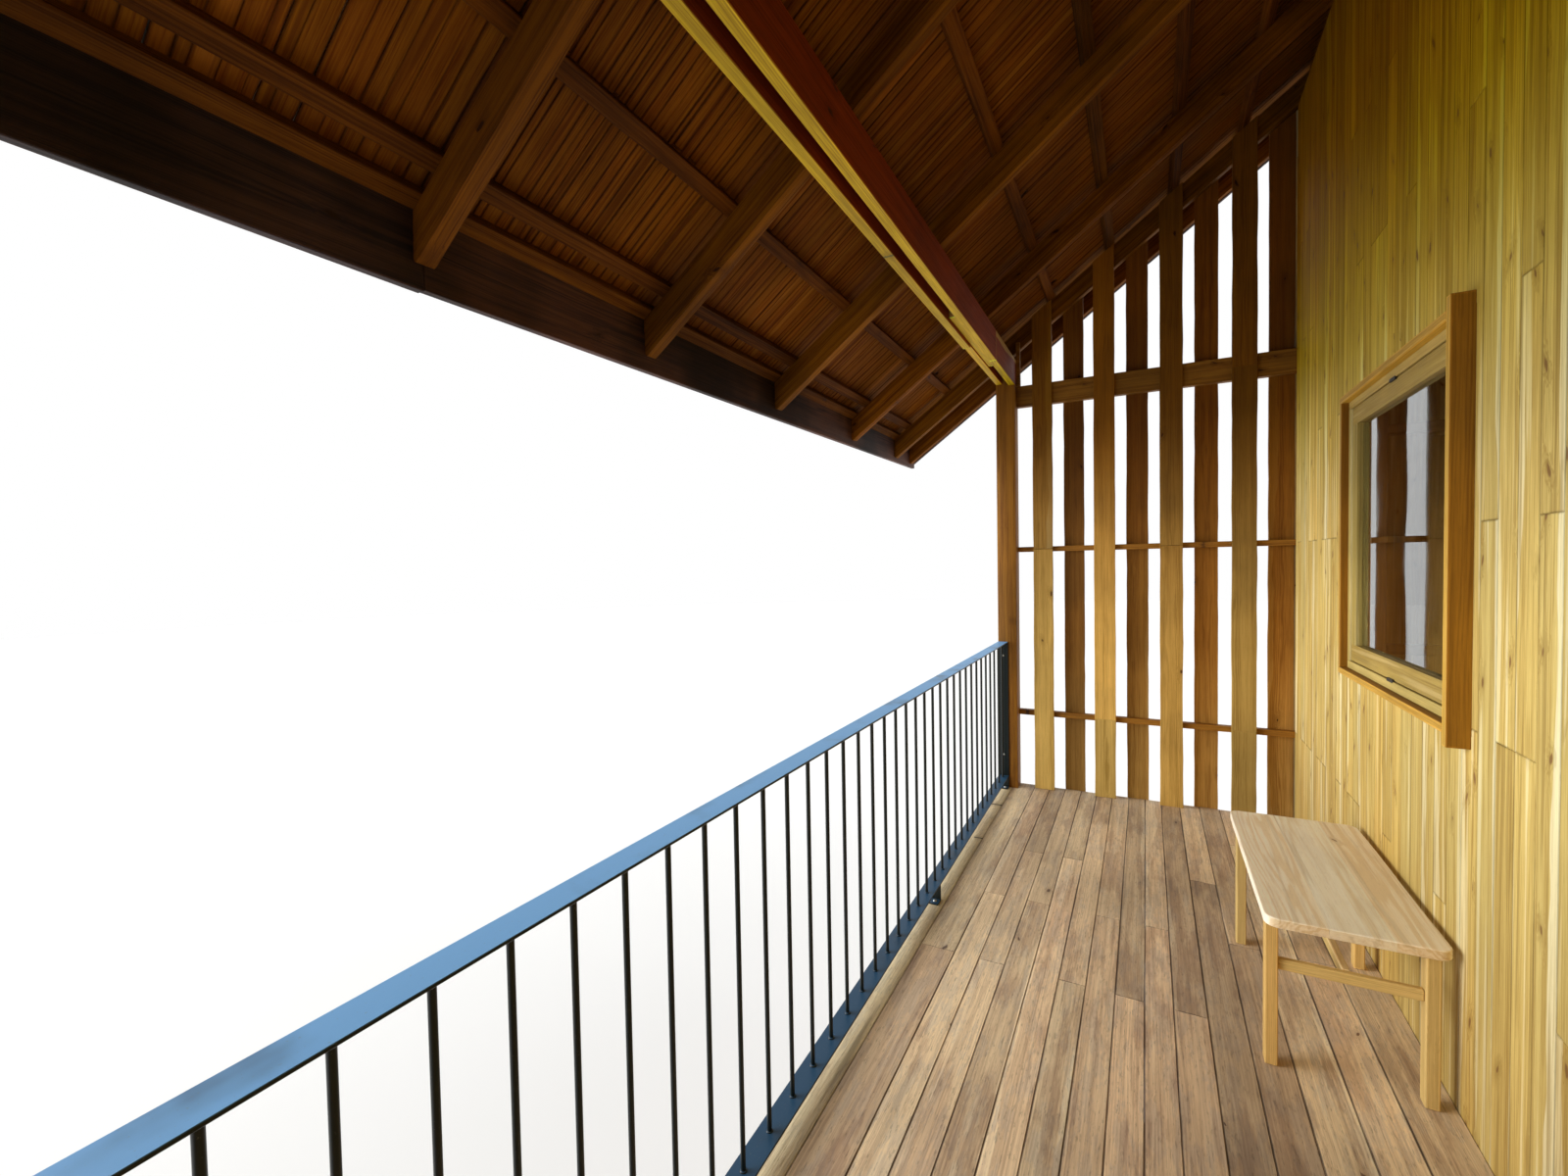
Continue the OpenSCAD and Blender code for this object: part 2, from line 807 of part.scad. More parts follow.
module pane() {
    edge = sash_off + sash_w - glass_groove;
    y = sash_y + (sash_t - glass_t) / 2;
    block([-window_w / 2 + edge, y, sill_z + edge], [window_w / 2 - edge, y + glass_t, top_z - edge]);
}

module window_panes() {
    color("lightblue", 0.4) window_spots() pane();
}

module door_casing() {
    z = deck_z + joint_gap;
    color("saddlebrown") translate([0, -wall_y, 0]) difference() {
        block([-door_w / 2, 0, z], [door_w / 2, casing_in, top_z]);
        block([-door_w / 2 + casing_t, -cut, z - cut],
              [door_w / 2 - casing_t, casing_in + cut, top_z - casing_t]);
    }
}

module door_leaf() {
    side = door_w / 2 - casing_t - joint_gap;
    color("peru") translate([0, -wall_y, 0])
        block([-side, 0, deck_z + leaf_gap], [side, leaf_t, top_z - casing_t - joint_gap]);
}

// Railing of flat steel bars, over the outer part of the rim beam

module flat_bar(x1, z_top) {
    block([rail_x0, -row_face, z_top - rail_t], [x1, -rail_in_y, z_top]);
}

module railing_bars() {
    color("midnightblue") {
        flat_bar(rail_x1 + newel_w, deck_z + rail_z);
        flat_bar(rail_x1, deck_z + rail_foot_z);
    }
}

module railing_balusters() {
    color("midnightblue")
        for (i = [0 : balusters - 1])
            translate([first_baluster_x + i * baluster_pitch, -baluster_y, deck_z + rail_foot_z])
                cylinder(d = baluster_d, h = rail_z - rail_t - rail_foot_z, $fn = 24);
}

// An angle that stands on the rim beam under the bottom bar, with its flat leg towards +X
module foot(x) {
    translate([x, -rail_in_y - foot_w, deck_z]) {
        cube([rail_t, foot_w, rail_foot_z - rail_t]);
        cube([foot_l, foot_w, rail_t]);
    }
}

module railing_fixings() {
    color("midnightblue") {
        block([-post_in_x, -row_face, deck_z], [rail_x0, -rail_in_y, deck_z + rail_z]);
        block([rail_x1, -rail_in_y - newel_w, deck_z], [rail_x1 + newel_w, -rail_in_y, deck_z + rail_z - rail_t]);
        for (x = [rail_x0 : foot_pitch : rail_x1 - foot_l]) foot(x);
    }
}

// Bench against the veranda wall

bench_y = -wall_y - bench_gap - bench_w / 2;
bench_leg_z = deck_z + bench_h - bench_top_t;

module bench_top() {
    color("wheat") translate([-bench_x, bench_y, bench_leg_z])
        linear_extrude(bench_top_t) offset(bench_r)
            square([bench_l - 2 * bench_r, bench_w - 2 * bench_r], center = true);
}

// Two pairs of legs, each with a rail across, and one long rail between those two
module bench_frame() {
    leg_xs = [-bench_l / 2 + leg_left + leg_l / 2, bench_l / 2 - leg_right - leg_l / 2];
    leg_ys = [-bench_w / 2 + leg_front + leg_w / 2, bench_w / 2 - leg_back - leg_w / 2];
    mid_y = (leg_ys[0] + leg_ys[1]) / 2;
    z0 = deck_z + bench_rail_z - bench_rail_h / 2;
    color("wheat") translate([-bench_x, bench_y, 0]) {
        for (x = leg_xs) {
            for (y = leg_ys)
                block([x - leg_l / 2, y - leg_w / 2, deck_z], [x + leg_l / 2, y + leg_w / 2, bench_leg_z]);
            block([x - bench_rail_t / 2, leg_ys[0], z0], [x + bench_rail_t / 2, leg_ys[1], z0 + bench_rail_h]);
        }
        block([leg_xs[0], mid_y - bench_rail_t / 2, z0], [leg_xs[1], mid_y + bench_rail_t / 2, z0 + bench_rail_h]);
    }
}

footings();
stilts();
veranda_posts();
wall_posts();
back_posts();
floor_beams();
floor_joists();
rim_beam();
veranda_deck();
room_floor();
veranda_wall();
left_gable_wall();
right_gable_wall();
back_wall();
wall_girts();
wall_plates();
tie_beams();
king_posts();
ridge_beam();
outer_eave_beam();
inner_eave_beam();
beam_spacers();
front_rafters();
back_rafters();
roof_battens();
roof_lining();
front_shingles();
back_shingles();
ridge_cap();
fascias();
barge_boards();
screen_rails();
inner_slats();
outer_slats();
window_casings();
window_frames();
window_sashes();
window_panes();
door_casing();
door_leaf();
railing_bars();
railing_balusters();
railing_fixings();
bench_top();
bench_frame();
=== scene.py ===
# %% [markdown]
# A timber stilt house with an open veranda.
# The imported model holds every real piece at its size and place. This lesson dresses it: each board, strip
# and shingle becomes wood of its own, with worn arrises, figure and knots. The model is loaded first,
# because most sizes below come from it.

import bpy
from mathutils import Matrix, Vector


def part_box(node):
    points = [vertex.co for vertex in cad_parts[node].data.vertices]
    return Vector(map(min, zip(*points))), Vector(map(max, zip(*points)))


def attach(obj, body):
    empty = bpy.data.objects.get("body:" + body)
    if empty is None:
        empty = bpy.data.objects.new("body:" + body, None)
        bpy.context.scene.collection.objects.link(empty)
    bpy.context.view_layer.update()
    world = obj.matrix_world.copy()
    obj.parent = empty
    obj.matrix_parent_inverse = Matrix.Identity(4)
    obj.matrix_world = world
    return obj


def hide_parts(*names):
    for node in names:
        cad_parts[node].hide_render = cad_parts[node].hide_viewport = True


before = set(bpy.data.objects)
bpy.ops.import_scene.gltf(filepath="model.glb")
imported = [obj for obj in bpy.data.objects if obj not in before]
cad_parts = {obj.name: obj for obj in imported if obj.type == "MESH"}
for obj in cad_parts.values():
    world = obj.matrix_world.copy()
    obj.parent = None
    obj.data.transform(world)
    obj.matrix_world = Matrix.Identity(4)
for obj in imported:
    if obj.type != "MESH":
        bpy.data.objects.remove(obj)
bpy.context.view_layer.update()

# %% The modules for this lesson
import math
import random
from contextlib import contextmanager

import bpy
import numpy as np
from mathutils import Matrix, Vector

# %% [markdown]
# The camera stands on the veranda at eye height and looks along it, with a very wide lens. A small shift
# keeps the middle of the picture where it is.

# %% The camera
eye_place = (1.41615, -1.78625, 3.40392)
eye_turn = (88.287, 1.053, 118.199)
lens_width, lens = 36.0, 14.995
shift = (-0.00734, -0.00149)
nearest = 0.02

camera = bpy.data.objects.new("camera", bpy.data.cameras.new("camera"))
camera.location = eye_place
camera.rotation_euler = [math.radians(angle) for angle in eye_turn]
camera.data.sensor_width, camera.data.lens = lens_width, lens
camera.data.shift_x, camera.data.shift_y = shift
camera.data.clip_start = nearest
bpy.context.scene.collection.objects.link(camera)
bpy.context.scene.camera = camera

# %% [markdown]
# Every new piece is modelled as by hand: a primitive at its size and place, then edit mode. One helper
# makes a piece the only selected one. Another opens edit mode with faces or edges chosen by their place.

# %% Helpers for selecting and editing
def alone(piece):
    """Makes a piece the only selected one, and the active one."""
    bpy.ops.object.select_all(action="DESELECT")
    piece.select_set(True)
    bpy.context.view_layer.objects.active = piece


def chosen(piece, kind, choose):
    """Marks the faces or edges for which choose(place, direction) is true."""
    mesh = piece.data
    if kind == "FACE":
        for face in mesh.polygons:
            face.select = choose(face.center, face.normal)
        return
    for edge in mesh.edges:
        a, b = (mesh.vertices[i].co for i in edge.vertices)
        edge.select = choose((a + b) / 2, (b - a).normalized())


@contextmanager
def editing(piece, kind="FACE", choose=None):
    """Edit mode on one piece, with everything selected or only what choose picks."""
    alone(piece)
    bpy.ops.object.mode_set(mode="EDIT")
    bpy.ops.mesh.select_mode(type=kind)
    bpy.ops.mesh.select_all(action="DESELECT" if choose else "SELECT")
    if choose:
        bpy.ops.object.mode_set(mode="OBJECT")
        chosen(piece, kind, choose)
        bpy.ops.object.mode_set(mode="EDIT")
    yield
    bpy.ops.object.mode_set(mode="OBJECT")


def settle(piece):
    """Puts the object's place, turn and scale into its mesh."""
    alone(piece)
    bpy.ops.object.transform_apply(location=True, rotation=True, scale=True)


print("Helpers for selecting and editing are ready")

# %% Helpers for shaping
sharp_edge = math.radians(25)
soft_edge = math.radians(35)
aligned = 0.9


def block(name, low, high):
    """A box from its lowest and highest corners, to be shaped further."""
    bpy.ops.object.select_all(action="DESELECT")
    low, high = Vector(low), Vector(high)
    bpy.ops.mesh.primitive_cube_add(size=1, location=(low + high) / 2, scale=high - low)
    piece = bpy.context.object
    piece.name = name
    settle(piece)
    return piece


def cut_off(piece, point, normal):
    """Cuts away what lies on the normal's side of a plane, and closes the cut."""
    with editing(piece):
        bpy.ops.mesh.bisect(plane_co=point, plane_no=normal, clear_outer=True, use_fill=True)


def take_arrises(piece, width, steps=1):
    """Takes the sharp edges off, all at one width."""
    with editing(piece, "EDGE"):
        bpy.ops.mesh.select_all(action="DESELECT")
        bpy.ops.mesh.edges_select_sharp(sharpness=sharp_edge)
        bpy.ops.mesh.bevel(offset=width, segments=steps, clamp_overlap=True)


def smooth(piece):
    """Shades rounded faces smooth, and leaves sharp edges sharp."""
    alone(piece)
    bpy.ops.object.shade_smooth_by_angle(angle=soft_edge)


def modify(piece, kind, **settings):
    """Adds a modifier with these settings, and applies it."""
    modifier = piece.modifiers.new("change", kind)
    for key, value in settings.items():
        setattr(modifier, key, value)
    alone(piece)
    bpy.ops.object.modifier_apply(modifier=modifier.name)


print("Helpers for shaping are ready")

# %% [markdown]
# A floor or a wall is one board and its copies, each with its own mesh and stretched to its own size. The
# arrises are taken off after the stretch, so that they are equally wide on long boards and short ones.

# %% Helpers for boards
def gather(name, pieces):
    """Joins pieces into the first of them."""
    bpy.ops.object.select_all(action="DESELECT")
    for piece in pieces:
        piece.select_set(True)
    bpy.context.view_layer.objects.active = pieces[0]
    if len(pieces) > 1:
        bpy.ops.object.join()
    pieces[0].name = pieces[0].data.name = name
    return pieces[0]


def another(first, matrix):
    """A copy of a piece with its own mesh, moved or stretched by a matrix."""
    piece = first.copy()
    piece.data = first.data.copy()
    piece.data.transform(matrix)
    bpy.context.collection.objects.link(piece)
    return piece


def stretch(old, new):
    """The matrix that fits one box onto another."""
    (low, high), (new_low, new_high) = old, new
    size = Vector(high) - Vector(low)
    new_size = Vector(new_high) - Vector(new_low)
    share = Matrix.Diagonal([b / a for a, b in zip(size, new_size)]).to_4x4()
    return Matrix.Translation(new_low) @ share @ Matrix.Translation(-Vector(low))


def lay(name, boxes, arris=0.0):
    """Boards that fill the given boxes."""
    first = block(name, *boxes[0])
    piece = gather(name, [first] + [another(first, stretch(boxes[0], box)) for box in boxes[1:]])
    if arris:
        take_arrises(piece, arris)
    return piece


def cut_holes(piece, boxes):
    """Cuts boxes out of a piece with a boolean modifier."""
    cutter = gather("cutter", [block("cutter", *box) for box in boxes])
    modify(piece, "BOOLEAN", operation="DIFFERENCE", solver="EXACT", object=cutter)
    bpy.data.objects.remove(cutter)


print("Helpers for boards are ready")

# %% [markdown]
# Many packed timbers have the right shape, but knife-sharp edges. A copy of such a piece comes as loose
# triangles, so it is merged and its flat faces are made whole before its arrises are taken off. Rough
# timber is also cut every few centimetres and pushed in and out a little, as a band saw leaves it.

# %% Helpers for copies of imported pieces
same_place = 0.00002
flat_angle = math.radians(1)
blunt_r = 0.02


def worn_copy(name, arris, steps=1, blunt=None):
    """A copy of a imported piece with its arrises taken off; blunt picks edges that wear has rounded more."""
    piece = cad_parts[name].copy()
    piece.data = piece.data.copy()
    piece.parent = None
    for key in list(piece.keys()):
        del piece[key]
    piece.data.materials.clear()
    bpy.context.collection.objects.link(piece)
    piece.name = piece.data.name = "worn_" + name
    with editing(piece):
        bpy.ops.mesh.customdata_custom_splitnormals_clear()
        bpy.ops.mesh.remove_doubles(threshold=same_place)
        bpy.ops.mesh.dissolve_limited(angle_limit=flat_angle)
    if blunt:
        with editing(piece, "EDGE", blunt):
            bpy.ops.mesh.bevel(offset=blunt_r, segments=4)
    take_arrises(piece, arris, steps)
    return piece


def roughen(piece, step, depth, grain_size, along=Vector((1, 0, 0))):
    """Cuts a piece across its length every step, then makes its faces uneven."""
    reach = [vertex.co.dot(along) for vertex in piece.data.vertices]
    with editing(piece):
        for i in range(1, int((max(reach) - min(reach)) / step)):
            bpy.ops.mesh.select_all(action="SELECT")
            bpy.ops.mesh.bisect(plane_co=along * (min(reach) + i * step), plane_no=along)
    clouds = bpy.data.textures.new("uneven", "CLOUDS")
    clouds.noise_scale = grain_size
    clouds.noise_depth = 1
    modify(piece, "DISPLACE", texture=clouds, texture_coords="LOCAL", strength=depth)
    with editing(piece):
        bpy.ops.mesh.faces_shade_smooth()
    smooth(piece)


print("Helpers for copies are ready")

# %% [markdown]
# The grain has to run along each board and start anew on the next. So each loose board stores where its
# points lie from its own middle: along, across and through it. It also stores its half size and three
# random numbers, its lot. The materials read these attributes.

# %% Where each point lies in its own board
pitch = math.radians(36)
up_slope = math.cos(pitch), math.sin(pitch)
board_frames = [np.array([(1, 0, 0), (0, run, rise), (0, -rise, run)])
                for run, rise in ((1, 0), up_slope, (up_slope[0], -up_slope[1]))]


def loose_parts(mesh):
    """For each point, the number of the loose part that it belongs to."""
    edges = np.empty(len(mesh.edges) * 2, int)
    mesh.edges.foreach_get("vertices", edges)
    a, b = edges.reshape(-1, 2).T
    label = np.arange(len(mesh.vertices))
    while True:
        lowest = np.minimum(label[a], label[b])
        spread = label.copy()
        np.minimum.at(spread, a, lowest)
        np.minimum.at(spread, b, lowest)
        spread = spread[spread]
        if (spread == label).all():
            return np.unique(label, return_inverse=True)[1]
        label = spread


def mark_boards(piece, seed):
    """Writes place, half and lot. A board's length is its longest side."""
    mesh = piece.data
    points = np.empty(len(mesh.vertices) * 3)
    mesh.vertices.foreach_get("co", points)
    points = points.reshape(-1, 3)
    part = loose_parts(mesh)
    order = np.argsort(part, kind="stable")
    groups = np.split(order, np.cumsum(np.bincount(part))[:-1])
    luck = np.random.default_rng(seed).random((len(groups), 3))
    place, half, lot = (np.zeros_like(points) for _ in range(3))
    for number, group in enumerate(groups):
        tries = [points[group] @ turn.T for turn in board_frames]
        own = min(tries, key=lambda tried: np.ptp(tried, axis=0).prod())
        axes = np.argsort(-np.ptp(own, axis=0), kind="stable")
        low, high = own.min(0), own.max(0)
        place[group] = (own - (high + low) / 2)[:, axes]
        half[group] = (high - low)[axes] / 2
        lot[group] = luck[number]
    for name, values in (("place", place), ("half", half), ("lot", lot)):
        attribute = mesh.attributes.new(name, "FLOAT_VECTOR", "POINT")
        attribute.data.foreach_set("vector", values.ravel())


print("The roof's pitch is", round(math.degrees(pitch)), "degrees")

# %% [markdown]
# Materials are nets of nodes. This small class adds and links them, so that a material reads like a
# few lines of arithmetic. A value may be a number, a colour or another node's output.

# %% A helper for nets of nodes
class Net:
    """Adds linked nodes to one node tree."""

    def __init__(self, tree):
        self.tree = tree

    def put(self, value, socket):
        if isinstance(value, bpy.types.NodeSocket):
            self.tree.links.new(value, socket)
        elif socket.type == "RGBA":
            socket.default_value = (*value[:3], 1.0)
        elif value is not None:
            socket.default_value = value

    def node(self, kind, *values, **settings):
        node = self.tree.nodes.new("ShaderNode" + kind)
        for key, value in settings.items():
            setattr(node, key, value)
        for value, socket in zip(values, node.inputs):
            self.put(value, socket)
        return node

    def math(self, operation, *values):
        return self.node("Math", *values, operation=operation).outputs[0]

    def times(self, value, *others):
        for other in others:
            value = self.math("MULTIPLY", value, other)
        return value

    def line(self, value, slope, start):
        """The value times the slope, and the start added."""
        return self.math("MULTIPLY_ADD", value, slope, start)

    def vector(self, operation, *values):
        outputs = self.node("VectorMath", *values, operation=operation).outputs
        return outputs["Value" if operation in ("LENGTH", "DOT_PRODUCT") else "Vector"]

    def scaled(self, vector, by):
        """A vector or a colour, multiplied by one value or by three."""
        return self.vector("MULTIPLY", vector, (by,) * 3 if isinstance(by, float) else by)

    def split(self, vector):
        return self.node("SeparateXYZ", vector).outputs

    def attribute(self, name):
        return self.node("Attribute", attribute_name=name).outputs["Vector"]

    def place(self):
        return self.node("TexCoord").outputs["Object"]

    def noise(self, place, scale, detail=2.0, rough=0.5):
        return self.node("TexNoise", self.scaled(place, scale), None, 1.0, detail, rough).outputs[0]

    def rise(self, value, low, high):
        """0 at low and 1 at high, smooth between; low may be the larger."""
        return self.node("MapRange", value, low, high, 0.0, 1.0, interpolation_type="SMOOTHSTEP").outputs[0]

    def blend(self, share, a, b):
        node = self.node("Mix", data_type="RGBA")
        for value, index in ((share, 0), (a, 6), (b, 7)):
            self.put(value, node.inputs[index])
        return node.outputs[2]

    def tint(self, share, colour, by):
        """The colour, multiplied by a tint or a number as far as share says."""
        return self.blend(share, colour, self.scaled(colour, by))

    def bump(self, height, depth):
        node = self.node("Bump")
        self.put(height, node.inputs["Height"])
        node.inputs["Distance"].default_value = depth
        return node.outputs["Normal"]

    def group(self, tree, **values):
        node = self.node("Group", node_tree=tree)
        for key, value in values.items():
            self.put(value, node.inputs[key])
        return node.outputs


def new_group(name, inputs, outputs):
    """A node group, its net and both ends. An input that starts as three numbers is a colour."""
    tree = bpy.data.node_groups.new(name, "ShaderNodeTree")
    for socket, value in inputs.items():
        kind = "Color" if isinstance(value, tuple) else "Float"
        added = tree.interface.new_socket(socket, in_out="INPUT", socket_type="NodeSocket" + kind)
        added.default_value = (*value, 1.0) if isinstance(value, tuple) else value
    for socket, kind in outputs.items():
        tree.interface.new_socket(socket, in_out="OUTPUT", socket_type="NodeSocket" + kind)
    start, end = tree.nodes.new("NodeGroupInput"), tree.nodes.new("NodeGroupOutput")
    return tree, Net(tree), start.outputs, end.inputs


print("The helper for nodes is ready")

# %% [markdown]
# Wood is a stack of cones around the pith, and a board's face shows them as lines and tongues. The group
# measures each point's distance from a pith behind the board, bends it with slow noise, and turns it into
# rings. Knots push the rings aside. Fibres and pores are noise stretched along the board, and sapwood is
# a pale streak near one edge. The last outputs tell how far the nearest arris and the end are.

# %% Knots in the wood figure
masks = ("Figure", "Streak", "Fibre", "Pores", "Blotch", "Vein", "Bright", "Knot", "Halo", "Sap", "Arris",
         "End", "Tone", "Hue")
sawing = {"ring": 0.004, "wander": 0.03, "knots": 0.25, "saps": 0.2}
wood_figure, net, given, result = new_group("wood_figure", sawing, dict.fromkeys(masks, "Float"))
place, half, lot = (net.attribute(name) for name in ("place", "half", "lot"))
luck = net.split(lot)
grain = net.vector("ADD", place, net.scaled(lot, 9.0))

knot_scale = (3.4, 9.0, 9.0)
cells = net.node("TexVoronoi", net.scaled(grain, knot_scale), None, 1.0)
knot_middle = net.vector("DIVIDE", cells.outputs["Position"], knot_scale)
knot_luck = net.split(cells.outputs["Color"])
knot_way = net.split(net.vector("SUBTRACT", grain, knot_middle))
leaning = net.line(knot_way[0], net.line(knot_luck[2], 0.8, -0.4), knot_way[1])
knot_shape = net.node("CombineXYZ", net.times(knot_way[0], 0.4), leaning).outputs[0]
ragged = net.line(net.noise(grain, (30.0, 160.0, 160.0)), 1.6, 0.2)
knot_far = net.times(net.vector("LENGTH", knot_shape), ragged)
has_knot = net.math("LESS_THAN", knot_luck[0], given["knots"])
knot_size = net.line(knot_luck[1], 0.006, 0.003)
knot = net.times(has_knot, net.rise(knot_far, knot_size, net.times(knot_size, 0.5)))
halo = net.times(has_knot, net.rise(knot_far, 0.026, 0.002))
print("Knots take", len(wood_figure.nodes), "nodes")

# %% Rings and fibres in the wood figure
slow = net.math("SUBTRACT", net.noise(grain, (0.8, 3.0, 3.0), 1.0), 0.5)
across, through = net.split(place)[1], net.split(place)[2]
pith_across = net.line(slow, given["wander"], net.line(luck[0], 0.14, -0.07))
pith_depth = net.line(luck[1], 0.12, 0.025)
off_across, off_through = net.math("SUBTRACT", across, pith_across), net.math("ADD", through, pith_depth)
from_pith = net.vector("LENGTH", net.node("CombineXYZ", off_across, off_through).outputs[0])
from_pith = net.line(slow, net.times(given["wander"], 0.4), from_pith)
from_pith = net.line(halo, 0.012, from_pith)
turns = net.math("DIVIDE", from_pith, given["ring"])
turns = net.line(net.noise(grain, (2.0, 40.0, 40.0)), 2.4, turns)
wave = net.math("SINE", net.times(turns, math.tau))
strong = net.noise(net.node("CombineXYZ", net.times(turns, 0.31), luck[2]).outputs[0], (1.0, 7.0, 1.0))
figure = net.times(net.rise(wave, -0.6, 1.0), net.rise(strong, 0.35, 0.65))

streak = net.noise(grain, (1.1, 44.0, 44.0), 3.0, 0.6)
fibre = net.noise(grain, (6.0, 260.0, 260.0), 3.0, 0.65)
pores = net.rise(net.noise(grain, (25.0, 800.0, 800.0), 1.0), 0.6, 0.72)
blotch = net.noise(grain, (1.5, 9.0, 9.0), 6.0, 0.7)
bands = net.noise(grain, (1.0, 40.0, 40.0), 1.0)
vein, bright = net.rise(bands, 0.6, 0.69), net.rise(bands, 0.4, 0.34)
print("Knots, rings and fibres take", len(wood_figure.nodes), "nodes")

# %% Sapwood, arrises and ends in the wood figure
side = net.line(net.math("GREATER_THAN", luck[1], 0.5), 2.0, -1.0)
from_edge = net.line(across, side, net.split(half)[1])
share = net.rise(luck[2], net.math("SUBTRACT", 1.0, given["saps"]), 1.0)
winding = net.line(net.noise(grain, (3.0, 6.0, 6.0)), 0.07, -0.007)
sap_width = net.times(share, net.line(slow, 0.16, winding))
sap = net.rise(from_edge, net.math("ADD", sap_width, 0.003), net.math("SUBTRACT", sap_width, 0.001))
sap = net.times(sap, net.rise(share, 0.0, 0.05))

gap = net.split(net.vector("SUBTRACT", half, net.vector("ABSOLUTE", place)))
inner = net.math("MINIMUM", net.math("MAXIMUM", gap[0], gap[1]), gap[2])
arris = net.math("MAXIMUM", net.math("MINIMUM", gap[0], gap[1]), inner)
for name, value in zip(masks, (figure, streak, fibre, pores, blotch, vein, bright, knot, halo, sap, arris,
                               gap[0], luck[0], luck[1])):
    net.put(value, result[name])
print("The whole wood figure has", len(wood_figure.nodes), "nodes")

# %% [markdown]
# A second group turns those masks into colour, roughness and relief. Early and late wood are mixed by the
# lines, then come sapwood, streaks, veins, pores and knots, and some boards are warmer than others. Masks
# have a capital letter, and the colours and shares that each timber gives have a small one.

# %% The colour of fresh wood
woods = {"early": (0.6, 0.4, 0.2), "late": (0.3, 0.2, 0.1), "sapwood": (0.7, 0.6, 0.4),
         "knot": (0.1, 0.05, 0.02)}
shares = {"figure": 0.5, "streak": 1.6, "fibre": 1.6, "veins": 0.0, "bright": 0.0, "vary": 0.2,
          "warm": (1.1, 0.95, 0.8), "rubbed": 0.3, "dirt": 0.6, "joints": 0.0, "grime": 0.25, "stain": 0.0,
          "wear": 0.0, "ends": 0.0, "rough": 0.6}
wood_finish, net, given, result = new_group(
    "wood_finish", {**dict.fromkeys(masks, 0.0), **woods, **shares},
    {"Colour": "Color", "Roughness": "Float", "Height": "Float"})
late, sapwood = given["late"], given["sapwood"]
lines = net.line(net.math("ADD", given["streak"], given["fibre"]), -0.5, 0.3)
for mask in ("Streak", "Fibre", "Figure"):
    lines = net.line(given[mask], given[mask.lower()], lines)
dark = net.scaled(late, 0.8)
colour = net.blend(lines, given["early"], late)
colour = net.blend(given["Sap"], colour, net.blend(net.times(lines, 0.5), sapwood, late))
colour = net.blend(net.times(given["Bright"], given["bright"]), colour, sapwood)
colour = net.blend(net.times(given["Vein"], given["veins"]), colour, dark)
colour = net.tint(net.times(given["Pores"], 0.4), colour, 0.6)
colour = net.blend(net.times(given["Halo"], 0.5), colour, dark)
colour = net.blend(given["Knot"], colour, given["knot"])
colour = net.tint(given["Hue"], colour, given["warm"])
print("Fresh wood takes", len(wood_finish.nodes), "nodes")

# %% [markdown]
# Then the weather: stains, grey scuffs and dark specks, grime in large patches, rubbed arrises, dirt and
# dark lines in the joints, and pale sawn ends.

# %% The weather on it
stain_tint = (0.6, 0.51, 0.5)
wear_tint = (0.84, 0.88, 0.98)
joint_tint = (0.17, 0.12, 0.09)
place = net.place()
arris, end, blotch = given["Arris"], given["End"], given["Blotch"]
colour = net.tint(net.times(net.rise(blotch, 0.49, 0.58), given["stain"]), colour, stain_tint)
scuffs = net.rise(net.noise(place, (5.0, 22.0, 22.0), 6.0, 0.75), 0.49, 0.55)
colour = net.tint(net.times(scuffs, given["wear"]), colour, wear_tint)
specks = net.rise(net.noise(place, (22.0, 130.0, 130.0), 4.0, 0.75), 0.56, 0.64)
colour = net.tint(net.times(specks, given["wear"]), colour, 0.62)

patch = net.rise(net.noise(place, 1.7, 3.0), 0.35, 0.62)
clean = net.line(patch, given["grime"], net.math("SUBTRACT", 1.0, given["grime"]))
level = net.line(net.line(given["Tone"], 2.0, -1.0), given["vary"], 1.0)
colour = net.scaled(colour, net.times(level, clean))
rubbed = net.times(net.rise(arris, 0.007, 0.003), given["rubbed"], net.rise(given["Streak"], 0.42, 0.55))
colour = net.tint(rubbed, colour, 1.5)
soiled = net.times(net.rise(arris, 0.006, 0.001), net.rise(blotch, 0.35, 0.55), given["dirt"])
colour = net.tint(soiled, colour, 0.35)
broken = net.line(net.rise(blotch, 0.35, 0.6), 0.5, 0.5)
short = net.line(net.rise(end, 0.003, 0.006), 0.6, 0.4)
joint = net.times(net.rise(arris, 0.003, 0.0014), given["joints"], broken, short)
colour = net.tint(joint, colour, joint_tint)
net.put(net.blend(net.times(net.rise(end, 0.004, 0.0005), given["ends"]), colour, sapwood), result["Colour"])
matt = net.line(given["Fibre"], 0.25, net.math("ADD", given["rough"], -0.125))
net.put(net.line(given["Knot"], -0.12, matt), result["Roughness"])
net.put(net.line(given["Streak"], 0.8, given["Fibre"]), result["Height"])
print("The wood finish has", len(wood_finish.nodes), "nodes")

# %% [markdown]
# Faces that look one way are made paler or darker, as painted light and painted shade. Some boards grow
# darker towards the roof, and the wall also towards the deck, as painted shade. Two small groups tint a
# colour by the way a face looks and by its height above the ground.

# %% Painted light and shade by direction and by height
grey, white = (0.5, 0.5, 0.5), (1.0, 1.0, 1.0)
# Faces that look one way are made paler or darker: painted light and painted shade.
painted_light_by_way, net, given, result = new_group(
    "painted_light_by_way", {"colour": grey, "x": 0.0, "y": 0.0, "z": 0.0, "tint": white}, {"Colour": "Color"})
way = net.node("CombineXYZ", given["x"], given["y"], given["z"]).outputs[0]
turned = net.rise(net.vector("DOT_PRODUCT", net.node("NewGeometry").outputs["Normal"], way), 0.6, 0.9)
net.put(net.tint(turned, given["colour"], given["tint"]), result["Colour"])
